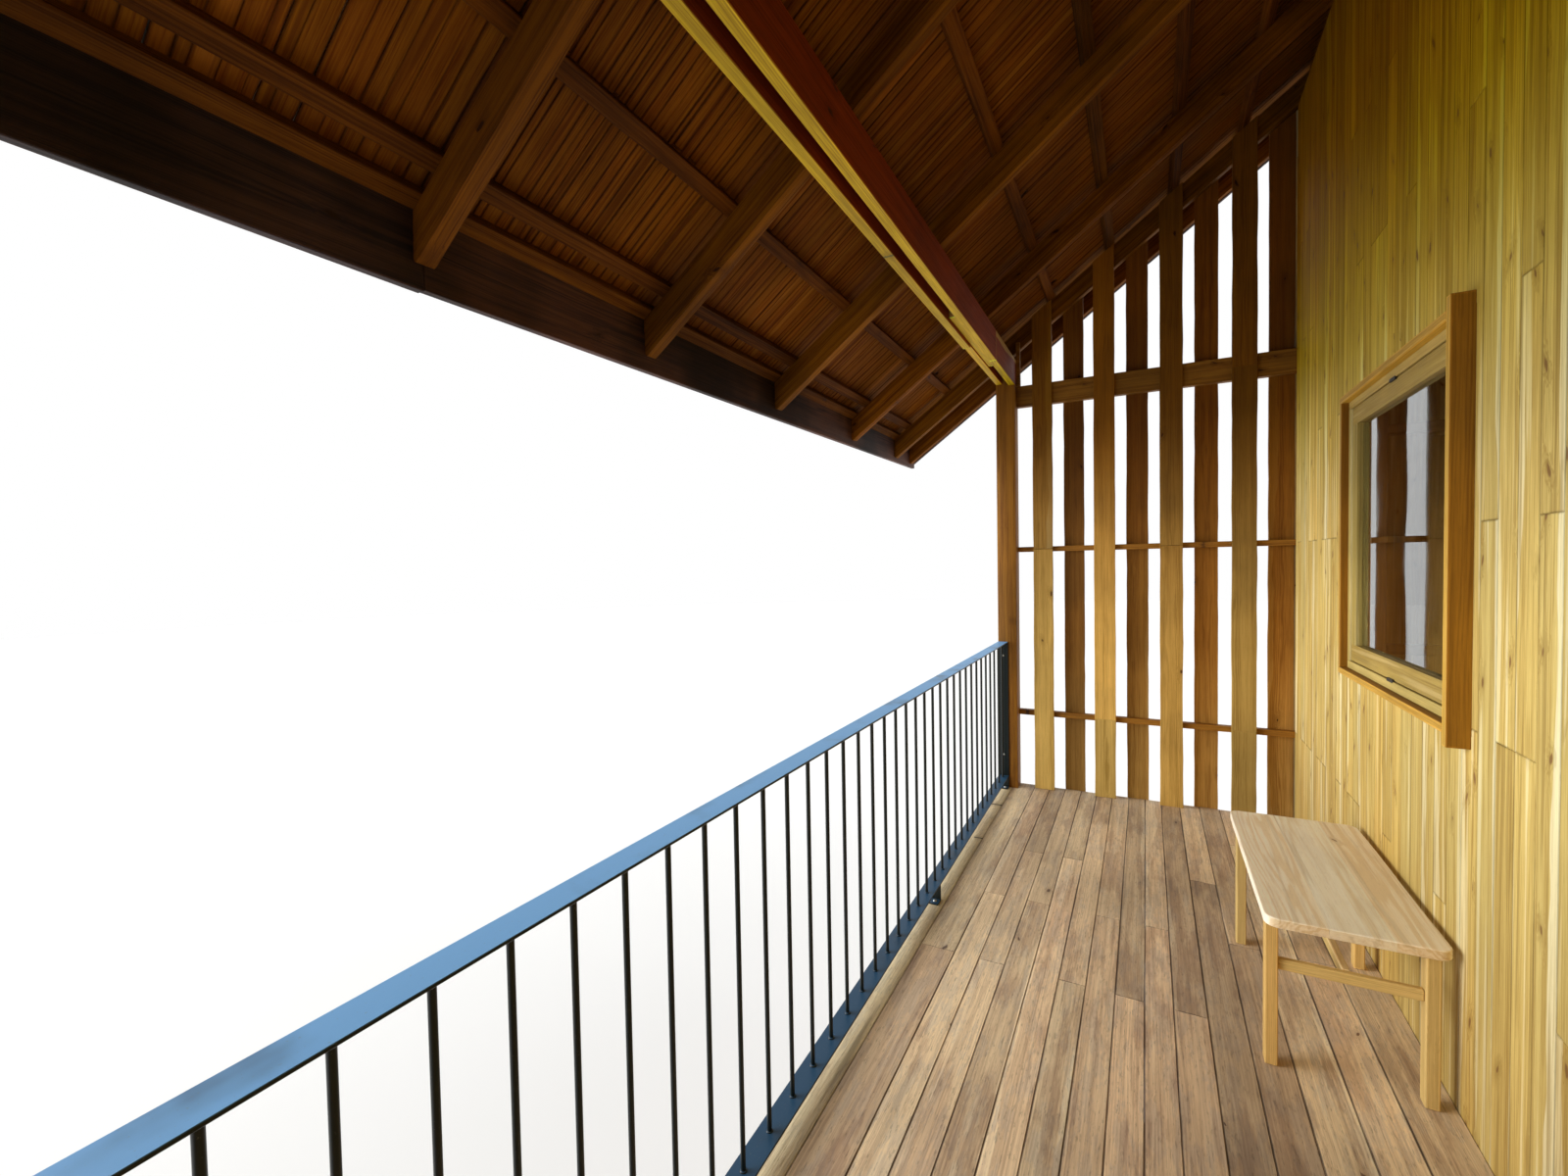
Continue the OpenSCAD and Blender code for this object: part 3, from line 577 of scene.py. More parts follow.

# The colour darkens from one height to another: painted shade.
painted_shade_by_height, net, given, result = new_group(
    "painted_shade_by_height", {"colour": grey, "low": 0.0, "high": 1.0, "tint": white}, {"Colour": "Color"})
raised = net.rise(net.split(net.place())[2], given["low"], given["high"])
net.put(net.tint(raised, given["colour"], given["tint"]), result["Colour"])
print("Two tints are ready")

# %% [markdown]
# A timber is now a short list: four colours, for early wood, late wood, sapwood and knots, and what
# differs from the groups' own shares. Relief and gloss are set outside, on the bump node and the shader.

# %% A recipe for timber
def new_material(name):
    material = bpy.data.materials.new(name)
    material.use_nodes = True
    return material, Net(material.node_tree), material.node_tree.nodes["Principled BSDF"].inputs


timbers = {}


def timber(name, *colours, relief=0.0005, gloss=0.5, painted_light_ways=(), painted_shade_heights=(), **values):
    """Makes a wood material and keeps it by its name.

    Each way is a direction with a tint for the faces that look there: painted light and painted shade.
    Each height is two levels above the ground with a tint that grows from the first to the second:
    painted shade.
    """
    timbers[name], net, shader = new_material(name + "_wood")
    wood = net.group(wood_figure, **{key: values.pop(key) for key in sawing if key in values})
    found = {mask: wood[mask] for mask in masks}
    coat = net.group(wood_finish, **found, **dict(zip(woods, colours)), **values)
    colour = coat["Colour"]
    for (x, y, z), tint in painted_light_ways:
        colour = net.group(painted_light_by_way, colour=colour, x=x, y=y, z=z, tint=tint)["Colour"]
    for low, high, tint in painted_shade_heights:
        colour = net.group(painted_shade_by_height, colour=colour, low=low, high=high, tint=tint)["Colour"]
    net.put(colour, shader["Base Color"])
    net.put(coat["Roughness"], shader["Roughness"])
    net.put(net.bump(coat["Height"], relief), shader["Normal"])
    shader["Specular IOR Level"].default_value = gloss


print("The timber recipe is ready")

# %% [markdown]
# The floor is oiled and already greyed by feet and rain. The wall boards are young teak, yellow with pale
# sapwood and many small knots. Roof timbers are rough and dark, and the bench is fresh and pale.

# %% Timbers of the floor, the walls and the posts
timber("deck", (0.79, 0.625, 0.39), (0.475, 0.345, 0.215), (0.9, 0.76, 0.5), (0.15, 0.085, 0.05),
       figure=0.35, streak=1.5, fibre=1.8, knots=0.08, saps=0.5, veins=0.3, bright=0.3, vary=0.32,
       warm=(0.98, 0.9, 0.9), rubbed=0.6, joints=1.0, grime=0.2, stain=0.55, wear=0.8, gloss=0.4)
timber("rim", (0.8, 0.76, 0.56), (0.46, 0.42, 0.29), (0.76, 0.7, 0.5), (0.03, 0.018, 0.01),
       figure=0.3, fibre=1.8, knots=1.0, veins=0.9, vary=0.1, grime=0.15, stain=0.4, wear=0.6, rough=0.75,
       relief=0.002)
# The wall loses its blue and darkens towards the roof, and darkens towards the deck: painted shade.
timber("wall", (0.76, 0.595, 0.205), (0.47, 0.315, 0.085), (0.94, 0.85, 0.5), (0.26, 0.14, 0.045),
       ring=0.0055, figure=0.6, streak=1.8, fibre=1.5, knots=0.45, saps=0.8, veins=0.6, bright=0.6, vary=0.14,
       warm=(1.0, 0.92, 0.78), rubbed=0.1, dirt=0.5, joints=0.2, grime=0.1, relief=0.0003, gloss=0.07,
       painted_shade_heights=((3.5, 4.7, (1.0, 0.95, 0.05)), (3.9, 5.3, (0.5, 0.3, 0.05)), (2.9, 1.9, (0.72, 0.68, 0.66))))
timber("outer_wall", (0.62, 0.47, 0.2), (0.38, 0.26, 0.095), (0.76, 0.64, 0.36), (0.2, 0.11, 0.04),
       ring=0.0055, streak=2.0, fibre=1.8, knots=0.4, saps=0.8, veins=0.8, bright=0.8, rubbed=0.1, joints=0.3,
       stain=0.4, relief=0.0003, gloss=0.12)
timber("post", (0.38, 0.18, 0.022), (0.18, 0.068, 0.008), (0.5, 0.3, 0.08), (0.07, 0.03, 0.008),
       ring=0.005, streak=2.4, knots=0.5, vary=0.12, rubbed=0.6, dirt=0.3, relief=0.0008, gloss=0.2)
timber("floor", (0.38, 0.24, 0.14), (0.2, 0.11, 0.055), (0.5, 0.36, 0.2), (0.1, 0.05, 0.025))
print("Timbers so far:", *timbers)

# %% Timbers of the roof
under_roof = dict(ring=0.006, streak=2.4, knots=0.3, veins=0.4, vary=0.15, rubbed=0.5, grime=0.4, rough=0.75,
                  relief=0.0022, gloss=0.1)
# Beam undersides are made much paler and yellower: painted light from below.
timber("beam", (0.33, 0.062, 0.009), (0.17, 0.027, 0.003), (0.62, 0.42, 0.12), (0.06, 0.015, 0.004),
       knots=0.15, vary=0.1, rubbed=0.8, dirt=0.2, ends=0.9, gloss=0.2, painted_light_ways=(((0, 0, -1), (2.2, 8.6, 0.3)),))
timber("roof", (0.26, 0.1, 0.003), (0.1, 0.034, 0.001), (0.3, 0.15, 0.02), (0.04, 0.012, 0.001), **under_roof)
timber("batten", (0.165, 0.058, 0.003), (0.06, 0.018, 0.001), (0.22, 0.1, 0.013), (0.04, 0.012, 0.001),
       **under_roof)
timber("lining", (0.24, 0.084, 0.003), (0.125, 0.034, 0.001), (0.32, 0.12, 0.01), (0.05, 0.013, 0.001),
       ring=0.003, wander=0.01, figure=0.3, streak=1.5, fibre=3.0, knots=0.05, saps=0.1, veins=0.8, vary=0.08,
       warm=(1.0, 0.9, 0.9), dirt=0.9, grime=0.3, rough=0.75, relief=0.001, gloss=0.08)
timber("shingle", (0.33, 0.295, 0.255), (0.17, 0.145, 0.12), (0.4, 0.36, 0.31), (0.1, 0.08, 0.06),
       streak=2.2, fibre=2.4, knots=0.05, saps=0.1, vary=0.35, warm=(1.15, 0.95, 0.78), dirt=0.8, grime=0.4,
       rough=0.85, relief=0.0016)
timber("fascia", (0.1, 0.05, 0.038), (0.027, 0.018, 0.026), (0.16, 0.08, 0.04), (0.03, 0.014, 0.01),
       streak=2.6, knots=0.15, vary=0.25, rubbed=0.9, grime=0.8, gloss=0.2)
print("Timbers so far:", *timbers)

# %% Timbers of the screens, the windows, the door and the bench
# The outer slats are the inner slats' wood made darker: painted shade in their recess. Both grow darker
# higher up, towards the roof: painted shade.
slatted = dict(figure=0.6, streak=1.8, knots=0.12, rubbed=0.4, dirt=0.3, gloss=0.2)
planed = dict(dirt=0.2, rough=0.5, gloss=0.2)
timber("inner_slat", (0.76, 0.53, 0.155), (0.47, 0.3, 0.065), (0.86, 0.68, 0.3), (0.12, 0.05, 0.012),
       vary=0.34, painted_shade_heights=((2.3, 4.5, (0.37, 0.23, 0.03)),), **slatted)
timber("outer_slat", (0.64, 0.4, 0.11), (0.36, 0.19, 0.04), (0.7, 0.5, 0.2), (0.08, 0.03, 0.008),
       vary=0.3, painted_shade_heights=((1.9, 3.1, (0.6, 0.46, 0.25)), (3.1, 4.4, (0.62, 0.5, 0.15))), **slatted)
# Casing faces toward the open side (-Y) and casing undersides are made much paler: painted light.
timber("casing", (0.31, 0.15, 0.012), (0.17, 0.075, 0.005), (0.45, 0.28, 0.08), (0.08, 0.03, 0.006),
       knots=0.1, vary=0.08, rubbed=0.9, dirt=0.2, rough=0.55, gloss=0.2,
       painted_light_ways=(((0, -1, 0), (2.2, 3.0, 6.5)), ((0, 0, -1), (2.8, 4.0, 7.0))))
# Frame faces toward +X are made paler: painted light.
timber("frame", (0.62, 0.49, 0.16), (0.44, 0.33, 0.09), (0.74, 0.62, 0.3), (0.2, 0.1, 0.04),
       knots=0.05, vary=0.08, painted_light_ways=(((1, 0, 0), (1.5, 1.7, 2.8)),), **planed)
timber("sash", (0.5, 0.38, 0.1), (0.32, 0.22, 0.05), (0.66, 0.54, 0.24), (0.2, 0.1, 0.04),
       knots=0.03, veins=0.5, bright=0.5, vary=0.06, **planed)
timber("door", (0.42, 0.26, 0.11), (0.22, 0.11, 0.04), (0.5, 0.34, 0.16), (0.1, 0.045, 0.02),
       knots=0.2, vary=0.12, rough=0.5)
# The bench top's near white colours are partly its own pale wood and partly painted light; its faces toward
# +X are darker: painted shade.
timber("bench", (0.99, 0.98, 0.88), (0.84, 0.74, 0.54), (0.99, 0.97, 0.84), (0.3, 0.17, 0.08),
       ring=0.015, wander=0.18, figure=1.2, streak=1.5, fibre=1.0, saps=0.9, veins=0.55, bright=0.5,
       vary=0.03, rubbed=0.0, dirt=0.0, grime=0.0, stain=0.15, rough=0.45,
       painted_light_ways=(((1, 0, 0), (0.8, 0.7, 0.55)),))
timber("bench_leg", (0.64, 0.465, 0.175), (0.43, 0.295, 0.09), (0.74, 0.57, 0.3), (0.2, 0.1, 0.04),
       figure=0.4, knots=0.05, vary=0.08, rubbed=0.6, dirt=0.1, grime=0.1, rough=0.5, gloss=0.4)
print("There are", len(timbers), "timbers")

# %% [markdown]
# A finished piece gets its material, moves with the house's one body, and stands for the imported pieces
# that it replaces. Two more helpers serve timber: one for new boards, and one for a imported piece whose
# shape is right.

# %% Helpers that finish a piece
def dress(piece, material, slot, *nodes):
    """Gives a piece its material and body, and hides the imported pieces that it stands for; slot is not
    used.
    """
    piece.data.materials.clear()
    piece.data.materials.append(material)
    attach(piece, "root")
    if nodes:
        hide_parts(*nodes)
    print(piece.name, "has", len(piece.data.polygons), "faces")


def finish(piece, seed, wood, slot, *nodes):
    """Marks the boards of a piece and dresses it in a timber."""
    mark_boards(piece, seed)
    dress(piece, timbers[wood], slot, *nodes)


def wear(node, seed, wood, slot, arris, steps=1, uneven=(), blunt=None):
    """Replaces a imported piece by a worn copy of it, with uneven faces if roughen's values are given."""
    piece = worn_copy(node, arris, steps, blunt)
    if uneven:
        roughen(piece, *uneven)
    finish(piece, seed, wood, slot, node)


print("Helpers for finishing are ready")

# %% [markdown]
# The veranda's deck is laid along the house. Its boards differ in width, as they were bought, and every
# butt joint falls on a joist. They lie tight: what shows as a dark line is the worn arris of two boards.

# %% The veranda deck
chance = random.Random(11)
deck_low, deck_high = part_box("veranda_deck")
posts_low, posts_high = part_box("veranda_posts")
post_w, joist_w, joist_gaps = 0.12, 0.05, 12
joist_pitch = (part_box("floor_joists")[1].x * 2 - joist_w) / joist_gaps
deck_widths = [132, 111, 115, 102, 104, 98, 86, 90, 94, 90, 93, 95, 94, 93, 133]
deck_joints = [(-4, 0, 3), (-3, 1, 4), (-5, -1, 2), (-3, 1, 5), (-4, 0, 4), (-2, 2), (-3, 1, 4), (-2, 3),
               (-3, 0, 4), (-2, 1, 5), (-4, 0, 3), (-3, 1, 5), (-4, -2, 2, 4), (-3, 0, 3), (-2, 2, 5)]
slot_w, butt_gap, uneven_top = 0.0004, 0.0008, 0.0012
beyond = 0.1


def floor_row(joints, low, high, y, width):
    """The boards of one row that ends at y, between two corners; joints are numbers of joists."""
    ends = [low.x, *(number * joist_pitch for number in joints), high.x]
    return [((a + butt_gap / 2, y - width + slot_w / 2, low.z),
             (b - butt_gap / 2, y - slot_w / 2, high.z - chance.uniform(0, uneven_top)))
            for a, b in zip(ends, ends[1:])]


boxes = []
row_y = deck_high.y
for width, joints in zip(deck_widths, deck_joints):
    boxes += floor_row(joints, deck_low, deck_high, row_y, width / 1000)
    row_y -= width / 1000
deck = lay("deck_boards", boxes)
holes = [((x, posts_low.y, deck_low.z - beyond), (x + post_w, posts_low.y + post_w, deck_high.z + beyond))
         for x in (-posts_high.x, posts_high.x - post_w)]
cut_holes(deck, holes)
take_arrises(deck, 0.0022)
finish(deck, 3, "deck", "deck_boards", "veranda_deck")
print("The deck ends", round(row_y - deck_low.y, 4), "m from the rim beam")

# %% [markdown]
# The room's floor is laid the same way with boards of one width, cut out round the posts. Only its
# underside and what the windows show of it can be seen.

# %% The room's floor
room_low, room_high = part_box("room_floor")
room_rows = 32
row_w = (room_high.y - room_low.y) / room_rows
boxes = []
for row in range(room_rows):
    joints = sorted(chance.sample(range(-4, 5, 2), 2))
    boxes += floor_row(joints, room_low, room_high, room_high.y - row * row_w, row_w)
room = lay("room_boards", boxes)
edges = sorted({round(vertex.co.x, 4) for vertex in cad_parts["wall_posts"].data.vertices})
cut_holes(room, [((a, low.y, room_low.z - beyond), (b, high.y, room_high.z + beyond))
                 for a, b in zip(edges[::2], edges[1::2])
                 for low, high in (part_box("wall_posts"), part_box("back_posts"))])
take_arrises(room, 0.001)
finish(room, 4, "floor", "floor_timber", "room_floor")

# %% [markdown]
# The rim beam is one heavy timber along the edge of the deck, rounded by weather and pitted on top. Its
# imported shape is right, so it gets only softer edges and an uneven surface.

# %% The rim beam
wear("rim_beam", 5, "rim", "rim_timber", arris=0.004, steps=2, uneven=(0.06, 0.003, 0.09))

# %% [markdown]
# The walls are tongued boards set upright, with butt joints on the girts behind them, at other girts in
# each column of boards. The openings are cut through the finished boarding, as a carpenter would.

# %% Boarding a wall
board_w = 0.0935
girt_pitch, first_girt = 0.535, deck_high.z + 0.515
tight = 0.0003
narrowest, shortest = 0.002, 0.3
past_wall = 0.2


def opening(box, axis):
    """The hole for a casing, a little longer than the wall is thick."""
    low, high = (Vector(corner) for corner in box)
    low[axis] -= past_wall
    high[axis] += past_wall
    return low, high


def boarding(name, low, high, axis, first_edge, holes, seed):
    """Upright boards between two corners, side by side along an axis, 0 for X or 1 for Y."""
    luck = random.Random(seed)
    boxes = []
    edge = first_edge - board_w * math.ceil((first_edge - low[axis]) / board_w)
    while edge < high[axis] - narrowest:
        levels = [low.z]
        level = first_girt + girt_pitch * luck.randrange(3)
        while level < high.z - shortest:
            if level > low.z + shortest:
                levels.append(level)
            level += girt_pitch * luck.choice((2, 3, 3, 4, 5))
        levels.append(high.z)
        corner, far = Vector(low), Vector(high)
        corner[axis] = max(edge, low[axis]) + tight / 2
        far[axis] = min(edge + board_w, high[axis]) - tight / 2
        boxes += [((*corner.xy, z0), (*far.xy, z1 - tight)) for z0, z1 in zip(levels, levels[1:])]
        edge += board_w
    wall = lay(name, boxes)
    cut_holes(wall, [opening(box, 1 - axis) for box in holes])
    return wall


def finish_wall(wall, seed, wood, node):
    """Takes a wall's arrises off and dresses it."""
    take_arrises(wall, 0.0012)
    finish(wall, seed, wood, "wall_boards", node)


print("Boards are", board_w, "m wide")

# %% [markdown]
# The openings are where the casings are: two windows each in the veranda wall and the back wall, and the
# door between those of the veranda. One board joint was measured, and all others follow from it.

# %% The veranda wall
sill_z, head_z = deck_high.z + 1.03, deck_high.z + 2.14
window_w, window_x = 1.09, 1.43
near_joint = -0.754


def window_spots(low, high):
    """The two window openings of a long wall."""
    half = window_w / 2
    return [((x - half, low.y, sill_z), (x + half, high.y, head_z)) for x in (-window_x, window_x)]


wall_low, wall_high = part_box("veranda_wall")
door_low, door_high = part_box("door_casing")
door_spot = ((door_low.x, wall_low.y, deck_high.z - beyond), (door_high.x, wall_high.y, head_z))
veranda_wall = boarding("veranda_wall_boards", wall_low, wall_high, 0, near_joint,
                        [*window_spots(wall_low, wall_high), door_spot], 21)
finish_wall(veranda_wall, 22, "wall", "veranda_wall")

# %% [markdown]
# The back wall and the two gable walls have the same boards. The gables end under the roof's two slopes,
# and leave a slot for the ridge beam.

# %% The back wall and the gable walls
rafters_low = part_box("front_rafters")[0]
ridge_line = rafters_low.z - math.tan(pitch) * rafters_low.y
rafter_d, lining_d, cover_d = 0.110, 0.150, 0.160
down_back, down_front = (Vector((0, side * up_slope[1], up_slope[0])) for side in (1, -1))


def roof_point(depth):
    """A point over the ridge line, at a depth above the rafters' underside."""
    return Vector((0, 0, ridge_line + depth / up_slope[0]))


back_low, back_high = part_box("back_wall")
back_wall = boarding("back_wall_boards", back_low, back_high, 0, 0.0, window_spots(back_low, back_high), 23)
finish_wall(back_wall, 24, "outer_wall", "back_wall")

ridge_low, ridge_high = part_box("ridge_beam")
past_ridge = 0.3
gable_mid = (back_low.y + wall_high.y) / 2
for side, name in ((-1, "left"), (1, "right")):
    low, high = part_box(name + "_gable_wall")
    window = ((low.x, gable_mid - window_w / 2, sill_z), (high.x, gable_mid + window_w / 2, head_z))
    slot = ((low.x, ridge_low.y, ridge_low.z), (high.x, ridge_high.y, ridge_high.z + past_ridge))
    gable = boarding(name + "_gable_boards", low, high, 1, 0.0, [window, slot], 25 + side)
    cut_off(gable, roof_point(rafter_d), down_front)
    cut_off(gable, roof_point(rafter_d), down_back)
    finish_wall(gable, 27 + side, "outer_wall", name + "_gable_wall")

# %% [markdown]
# The posts stand on footings, and the floor's beams and joists lie between them. All keep their packed
# shapes, with the arrises taken off, and the posts get a little unevenness from the saw.

# %% Posts, beams and joists
up = Vector((0, 0, 1))
for number, name in enumerate(("veranda_posts", "stilts", "wall_posts", "back_posts")):
    wear(name, 30 + number, "post", "post_timber", arris=0.004, steps=2, uneven=(0.15, 0.0015, 0.12, up))
for number, (name, wood, slot, arris) in enumerate((
        ("floor_beams", "floor", "floor_timber", 0.004), ("floor_joists", "floor", "floor_timber", 0.003),
        ("wall_girts", "floor", "wall_boards", 0.002), ("wall_plates", "post", "post_timber", 0.003),
        ("tie_beams", "post", "post_timber", 0.003), ("king_posts", "post", "post_timber", 0.003),
        ("ridge_beam", "roof", "roof_timber", 0.004))):
    wear(name, 40 + number, wood, slot, arris)

# %% [markdown]
# The roof over the veranda is open to view from below: rafters with seats cut over the twin eave beams,
# battens across them, and a lining of split strips on top. The rafters are the roughest, and their lowest
# edges are rounded most.

# %% Rafters, battens and eave beams
above_lowest = 0.005
for number, (name, side) in enumerate((("front_rafters", 1), ("back_rafters", -1))):
    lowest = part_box(name)[0].z + above_lowest
    along = Vector((0, side * up_slope[0], up_slope[1]))
    wear(name, 50 + number, "roof", "roof_timber", arris=0.007, steps=2, uneven=(0.11, 0.005, 0.16, along),
         blunt=lambda place, way: abs(way.x) > aligned and place.z < lowest)
wear("roof_battens", 53, "batten", "roof_timber", arris=0.003, uneven=(0.16, 0.004, 0.2))
for number, name in enumerate(("outer_eave_beam", "inner_eave_beam", "beam_spacers")):
    wear(name, 55 + number, "beam", "beam_timber", 0.002)
for number, name in enumerate(("fascias", "barge_boards")):
    wear(name, 60 + number, "fascia", "fascia_timber", 0.002)

# %% [markdown]
# A slope of the roof is drawn flat: X along the house, Y up the slope from the ridge line, Z square to
# it from the rafters' underside. Then the whole layer is turned onto its slope. The back slope is the
# front one turned round, not mirrored, so that nothing comes inside out.

# %% Turning a layer onto the roof
def onto_roof(piece, back):
    """Turns a flat layer onto the front or the back slope."""
    lift = Matrix.Translation(roof_point(0)) @ Matrix.Rotation(pitch, 4, "X")
    piece.matrix_world = (Matrix.Rotation(math.pi, 4, "Z") if back else Matrix.Identity(4)) @ lift
    settle(piece)


def flat_y(y, depth):
    """How far up the flat drawing a point lies that is at y on the front slope, at a depth."""
    return (y + depth * up_slope[1]) / up_slope[0]


roof_low, roof_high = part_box("roof_lining")
layer_x, edge_y = roof_high.x, roof_low.y
print("The slope is", round(flat_y(0, cover_d) - flat_y(edge_y, cover_d), 2), "m long")

# %% [markdown]
# The lining is split wood, laid up the slope on the battens in uneven widths. Every strip is a little
# thicker or thinner than the next, and here and there one is short and shows the dark shingles above.

# %% The strip lining
batten_pitch, first_batten, batten_count = 0.344, 0.25, 9
below_cover, lining_back, ridge_gap, narrowest_strip = 0.0005, 0.025, 0.004, 0.004
lining_top = cover_d - below_cover
low_end, high_end = flat_y(edge_y + lining_back, cover_d), flat_y(0, lining_d) - ridge_gap
batten_lines = [flat_y(-first_batten - i * batten_pitch, lining_d) for i in range(batten_count)]
for back, name in ((False, "front_lining"), (True, "back_lining")):
    chance = random.Random(71 + back)
    boxes = []
    x = -layer_x
    while x < layer_x - narrowest_strip:
        width = min(chance.uniform(0.019, 0.047), layer_x - x)
        ends = [low_end, *sorted(chance.sample(batten_lines, chance.choice((1, 2, 2)))), high_end]
        for a, b in zip(ends, ends[1:]):
            depth = chance.uniform(0.006, 0.0095)
            slit = chance.choice((0.0006, 0.0006, 0.001, 0.002, 0.0035))
            slip = chance.uniform(0.01, 0.05) if chance.random() < 0.04 else 0.001
            boxes.append(((x + tight, a + slip, lining_top - depth), (x + width - slit, b, lining_top)))
        x += width
    lining = lay(name, boxes, arris=0.001)
    onto_roof(lining, back)
    finish(lining, 73 + back, "lining", "lining_strips", "roof_lining")

# %% [markdown]
# The shingles are split wood too. One is modelled as a wedge: a block whose upper end is scaled down in
# edit mode, and whose butt lies on the course below. Its copies are laid in courses. Each is one and a
# half courses long, the joints fall at random, and the last course is cut short at the ridge.

# %% Shingles
courses, lap, last_share = 17, 1.5, 0.62
unit_w, butt_t, head_t, eave_t = 0.1, 0.015, 0.003, 0.032
narrowest_shingle, shingle_gap, past_edge = 0.02, 0.003, 0.001
lift_t = eave_t - butt_t
eave_end = flat_y(edge_y, cover_d + lift_t + butt_t) + past_edge
course_l = (flat_y(0, cover_d) - eave_end) / courses
unit_high = Vector((unit_w, course_l * lap, butt_t))


def model_shingle():
    """A wedge with its thick end low on the slope and lifted by the course below."""
    shingle = block("shingle", (0, 0, 0), unit_high)
    with editing(shingle, "FACE", lambda place, normal: normal.y > aligned):
        bpy.ops.transform.resize(value=(1, 1, head_t / butt_t), center_override=(0, unit_high.y, 0))
    with editing(shingle, "FACE", lambda place, normal: normal.y < -aligned):
        bpy.ops.transform.translate(value=(0, 0, lift_t))
    return shingle


def shingle_slope(name, back, seed):
    """All shingles of one slope."""
    chance = random.Random(seed)
    first = model_shingle()
    shingles = []
    for course in range(courses):
        length = 1 if course < courses - 1 else last_share
        x = -layer_x + chance.uniform(-0.1, -0.02)
        while x < layer_x:
            width = chance.uniform(0.08, 0.15)
            a, b = max(x, -layer_x), min(x + width, layer_x)
            x += width
            if b - a < narrowest_shingle:
                continue
            slip = chance.uniform(0, 0.012)
            share = Matrix.Diagonal(((b - a - shingle_gap) / unit_w, length, chance.uniform(0.9, 1.0), 1))
            place = Matrix.Translation((a, eave_end + course * course_l + slip, cover_d))
            shingles.append(another(first, place @ share))
    bpy.data.objects.remove(first)
    slope = gather(name, shingles)
    take_arrises(slope, 0.0015)
    onto_roof(slope, back)
    return slope


for back, name in ((False, "front"), (True, "back")):
    slope = shingle_slope(name + "_shingle_courses", back, 80 + back)
    finish(slope, 82 + back, "shingle", "shingles", name + "_shingles")
wear("ridge_cap", 84, "shingle", "shingles", 0.003)

# %% [markdown]
# Each end of the veranda has a screen of upright slats, nailed by turns to the inside and the outside of
# three rails. Where a slat wasn't long enough, shorter lengths meet on a rail. The tops follow the roof.

# %% The screens' slats
slat_w, slat_t, slat_count = 0.12, 0.023, 8
rail_levels = {"low": 0.4975, "mid": 1.5865, "top": 2.5975}
slat_seeds = (56968, 36961)
slat_joints = {"inner_slats": (("mid",), ("low",), ("mid",), ("low", "top")),
               "outer_slats": ((), ("mid",), (), ("top",))}
for number, (name, joints) in enumerate(slat_joints.items()):
    low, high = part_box(name)
    pitch_y = (high.y - low.y - slat_w) / (slat_count - 2)
    boxes = []
    for side in (-1, 1):
        face = side * high.x
        a, b = sorted((face, face - side * slat_t))
        for i, rails in enumerate(joints):
            y = low.y + 2 * i * pitch_y
            levels = [low.z, *(deck_high.z + rail_levels[rail] for rail in rails), high.z]
            for z0, z1 in zip(levels, levels[1:]):
                boxes.append(((a, y, z0 + tight), (b, y + slat_w, z1)))
    slats = lay(name + "_boards", boxes)
    cut_off(slats, roof_point(rafter_d), down_front)
    take_arrises(slats, 0.0015)
    roughen(slats, 0.1, 0.007, 0.2, up)
    finish(slats, slat_seeds[number], name.rstrip("s"), "slat_timber", name)
wear("screen_rails", 92, "post", "slat_timber", 0.0015)

# %% [markdown]
# Windows: a deep casing, a pale fixed frame and a sash that turns on pivots. The pane is smooth glass, a
# plain shader with clear transmission, and mirrors the screen at a flat angle.

# %% Windows
for number, (name, wood) in enumerate((
        ("window_casings", "casing"), ("window_frames", "frame"), ("window_sashes", "sash"),
        ("door_casing", "casing"))):
    wear(name, 100 + number, wood, wood + "_timber", 0.0015)

glass, net, shader = new_material("window_glass")
shader["Base Color"].default_value = (0.93, 0.96, 0.95, 1)
for socket, value in (("Roughness", 0.01), ("IOR", 1.52), ("Transmission Weight", 1.0)):
    shader[socket].default_value = value
net.put(net.bump(net.noise(net.place(), 2.5, 1.0), 0.0004), shader["Normal"])
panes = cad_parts["window_panes"]
panes.data.materials.clear()
panes.data.materials.append(glass)
print("The panes are glass")

# %% [markdown]
# The door isn't in the picture, so it is plain: upright planks nailed on three ledges.

# %% The door
leaf_low, leaf_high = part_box("door_leaf")
plank_t, plank_count = 0.022, 6
plank_w = (leaf_high.x - leaf_low.x) / plank_count
ledge_inset, ledge_h = 0.03, 0.12
low_ledge, high_ledge = 0.2, 0.3
ledge_levels = (leaf_low.z + low_ledge, (leaf_low.z + leaf_high.z) / 2, leaf_high.z - high_ledge)
plank_back = leaf_low.y + plank_t
boxes = [((leaf_low.x + i * plank_w + tight, leaf_low.y, leaf_low.z),
          (leaf_low.x + (i + 1) * plank_w - tight, plank_back, leaf_high.z)) for i in range(plank_count)]
boxes += [((leaf_low.x + ledge_inset, plank_back, z), (leaf_high.x - ledge_inset, leaf_high.y, z + ledge_h))
          for z in ledge_levels]
finish(lay("door_planks", boxes, arris=0.002), 105, "door", "door_timber", "door_leaf")

# %% [markdown]
# The railing is painted steel, and its colour is painted reflection: nearly black, as of dark surroundings,
# and in patches pale blue, as of the sky, on faces that look up, dark navy low by the deck. So the flat bars
# look pale blue and the round balusters stay dark. Every baluster is welded at both ends, with a small bead.

# %% Painted steel
steel, net, shader = new_material("painted_steel")
place = net.place()
facing = net.split(net.node("NewGeometry").outputs["Normal"])[2]
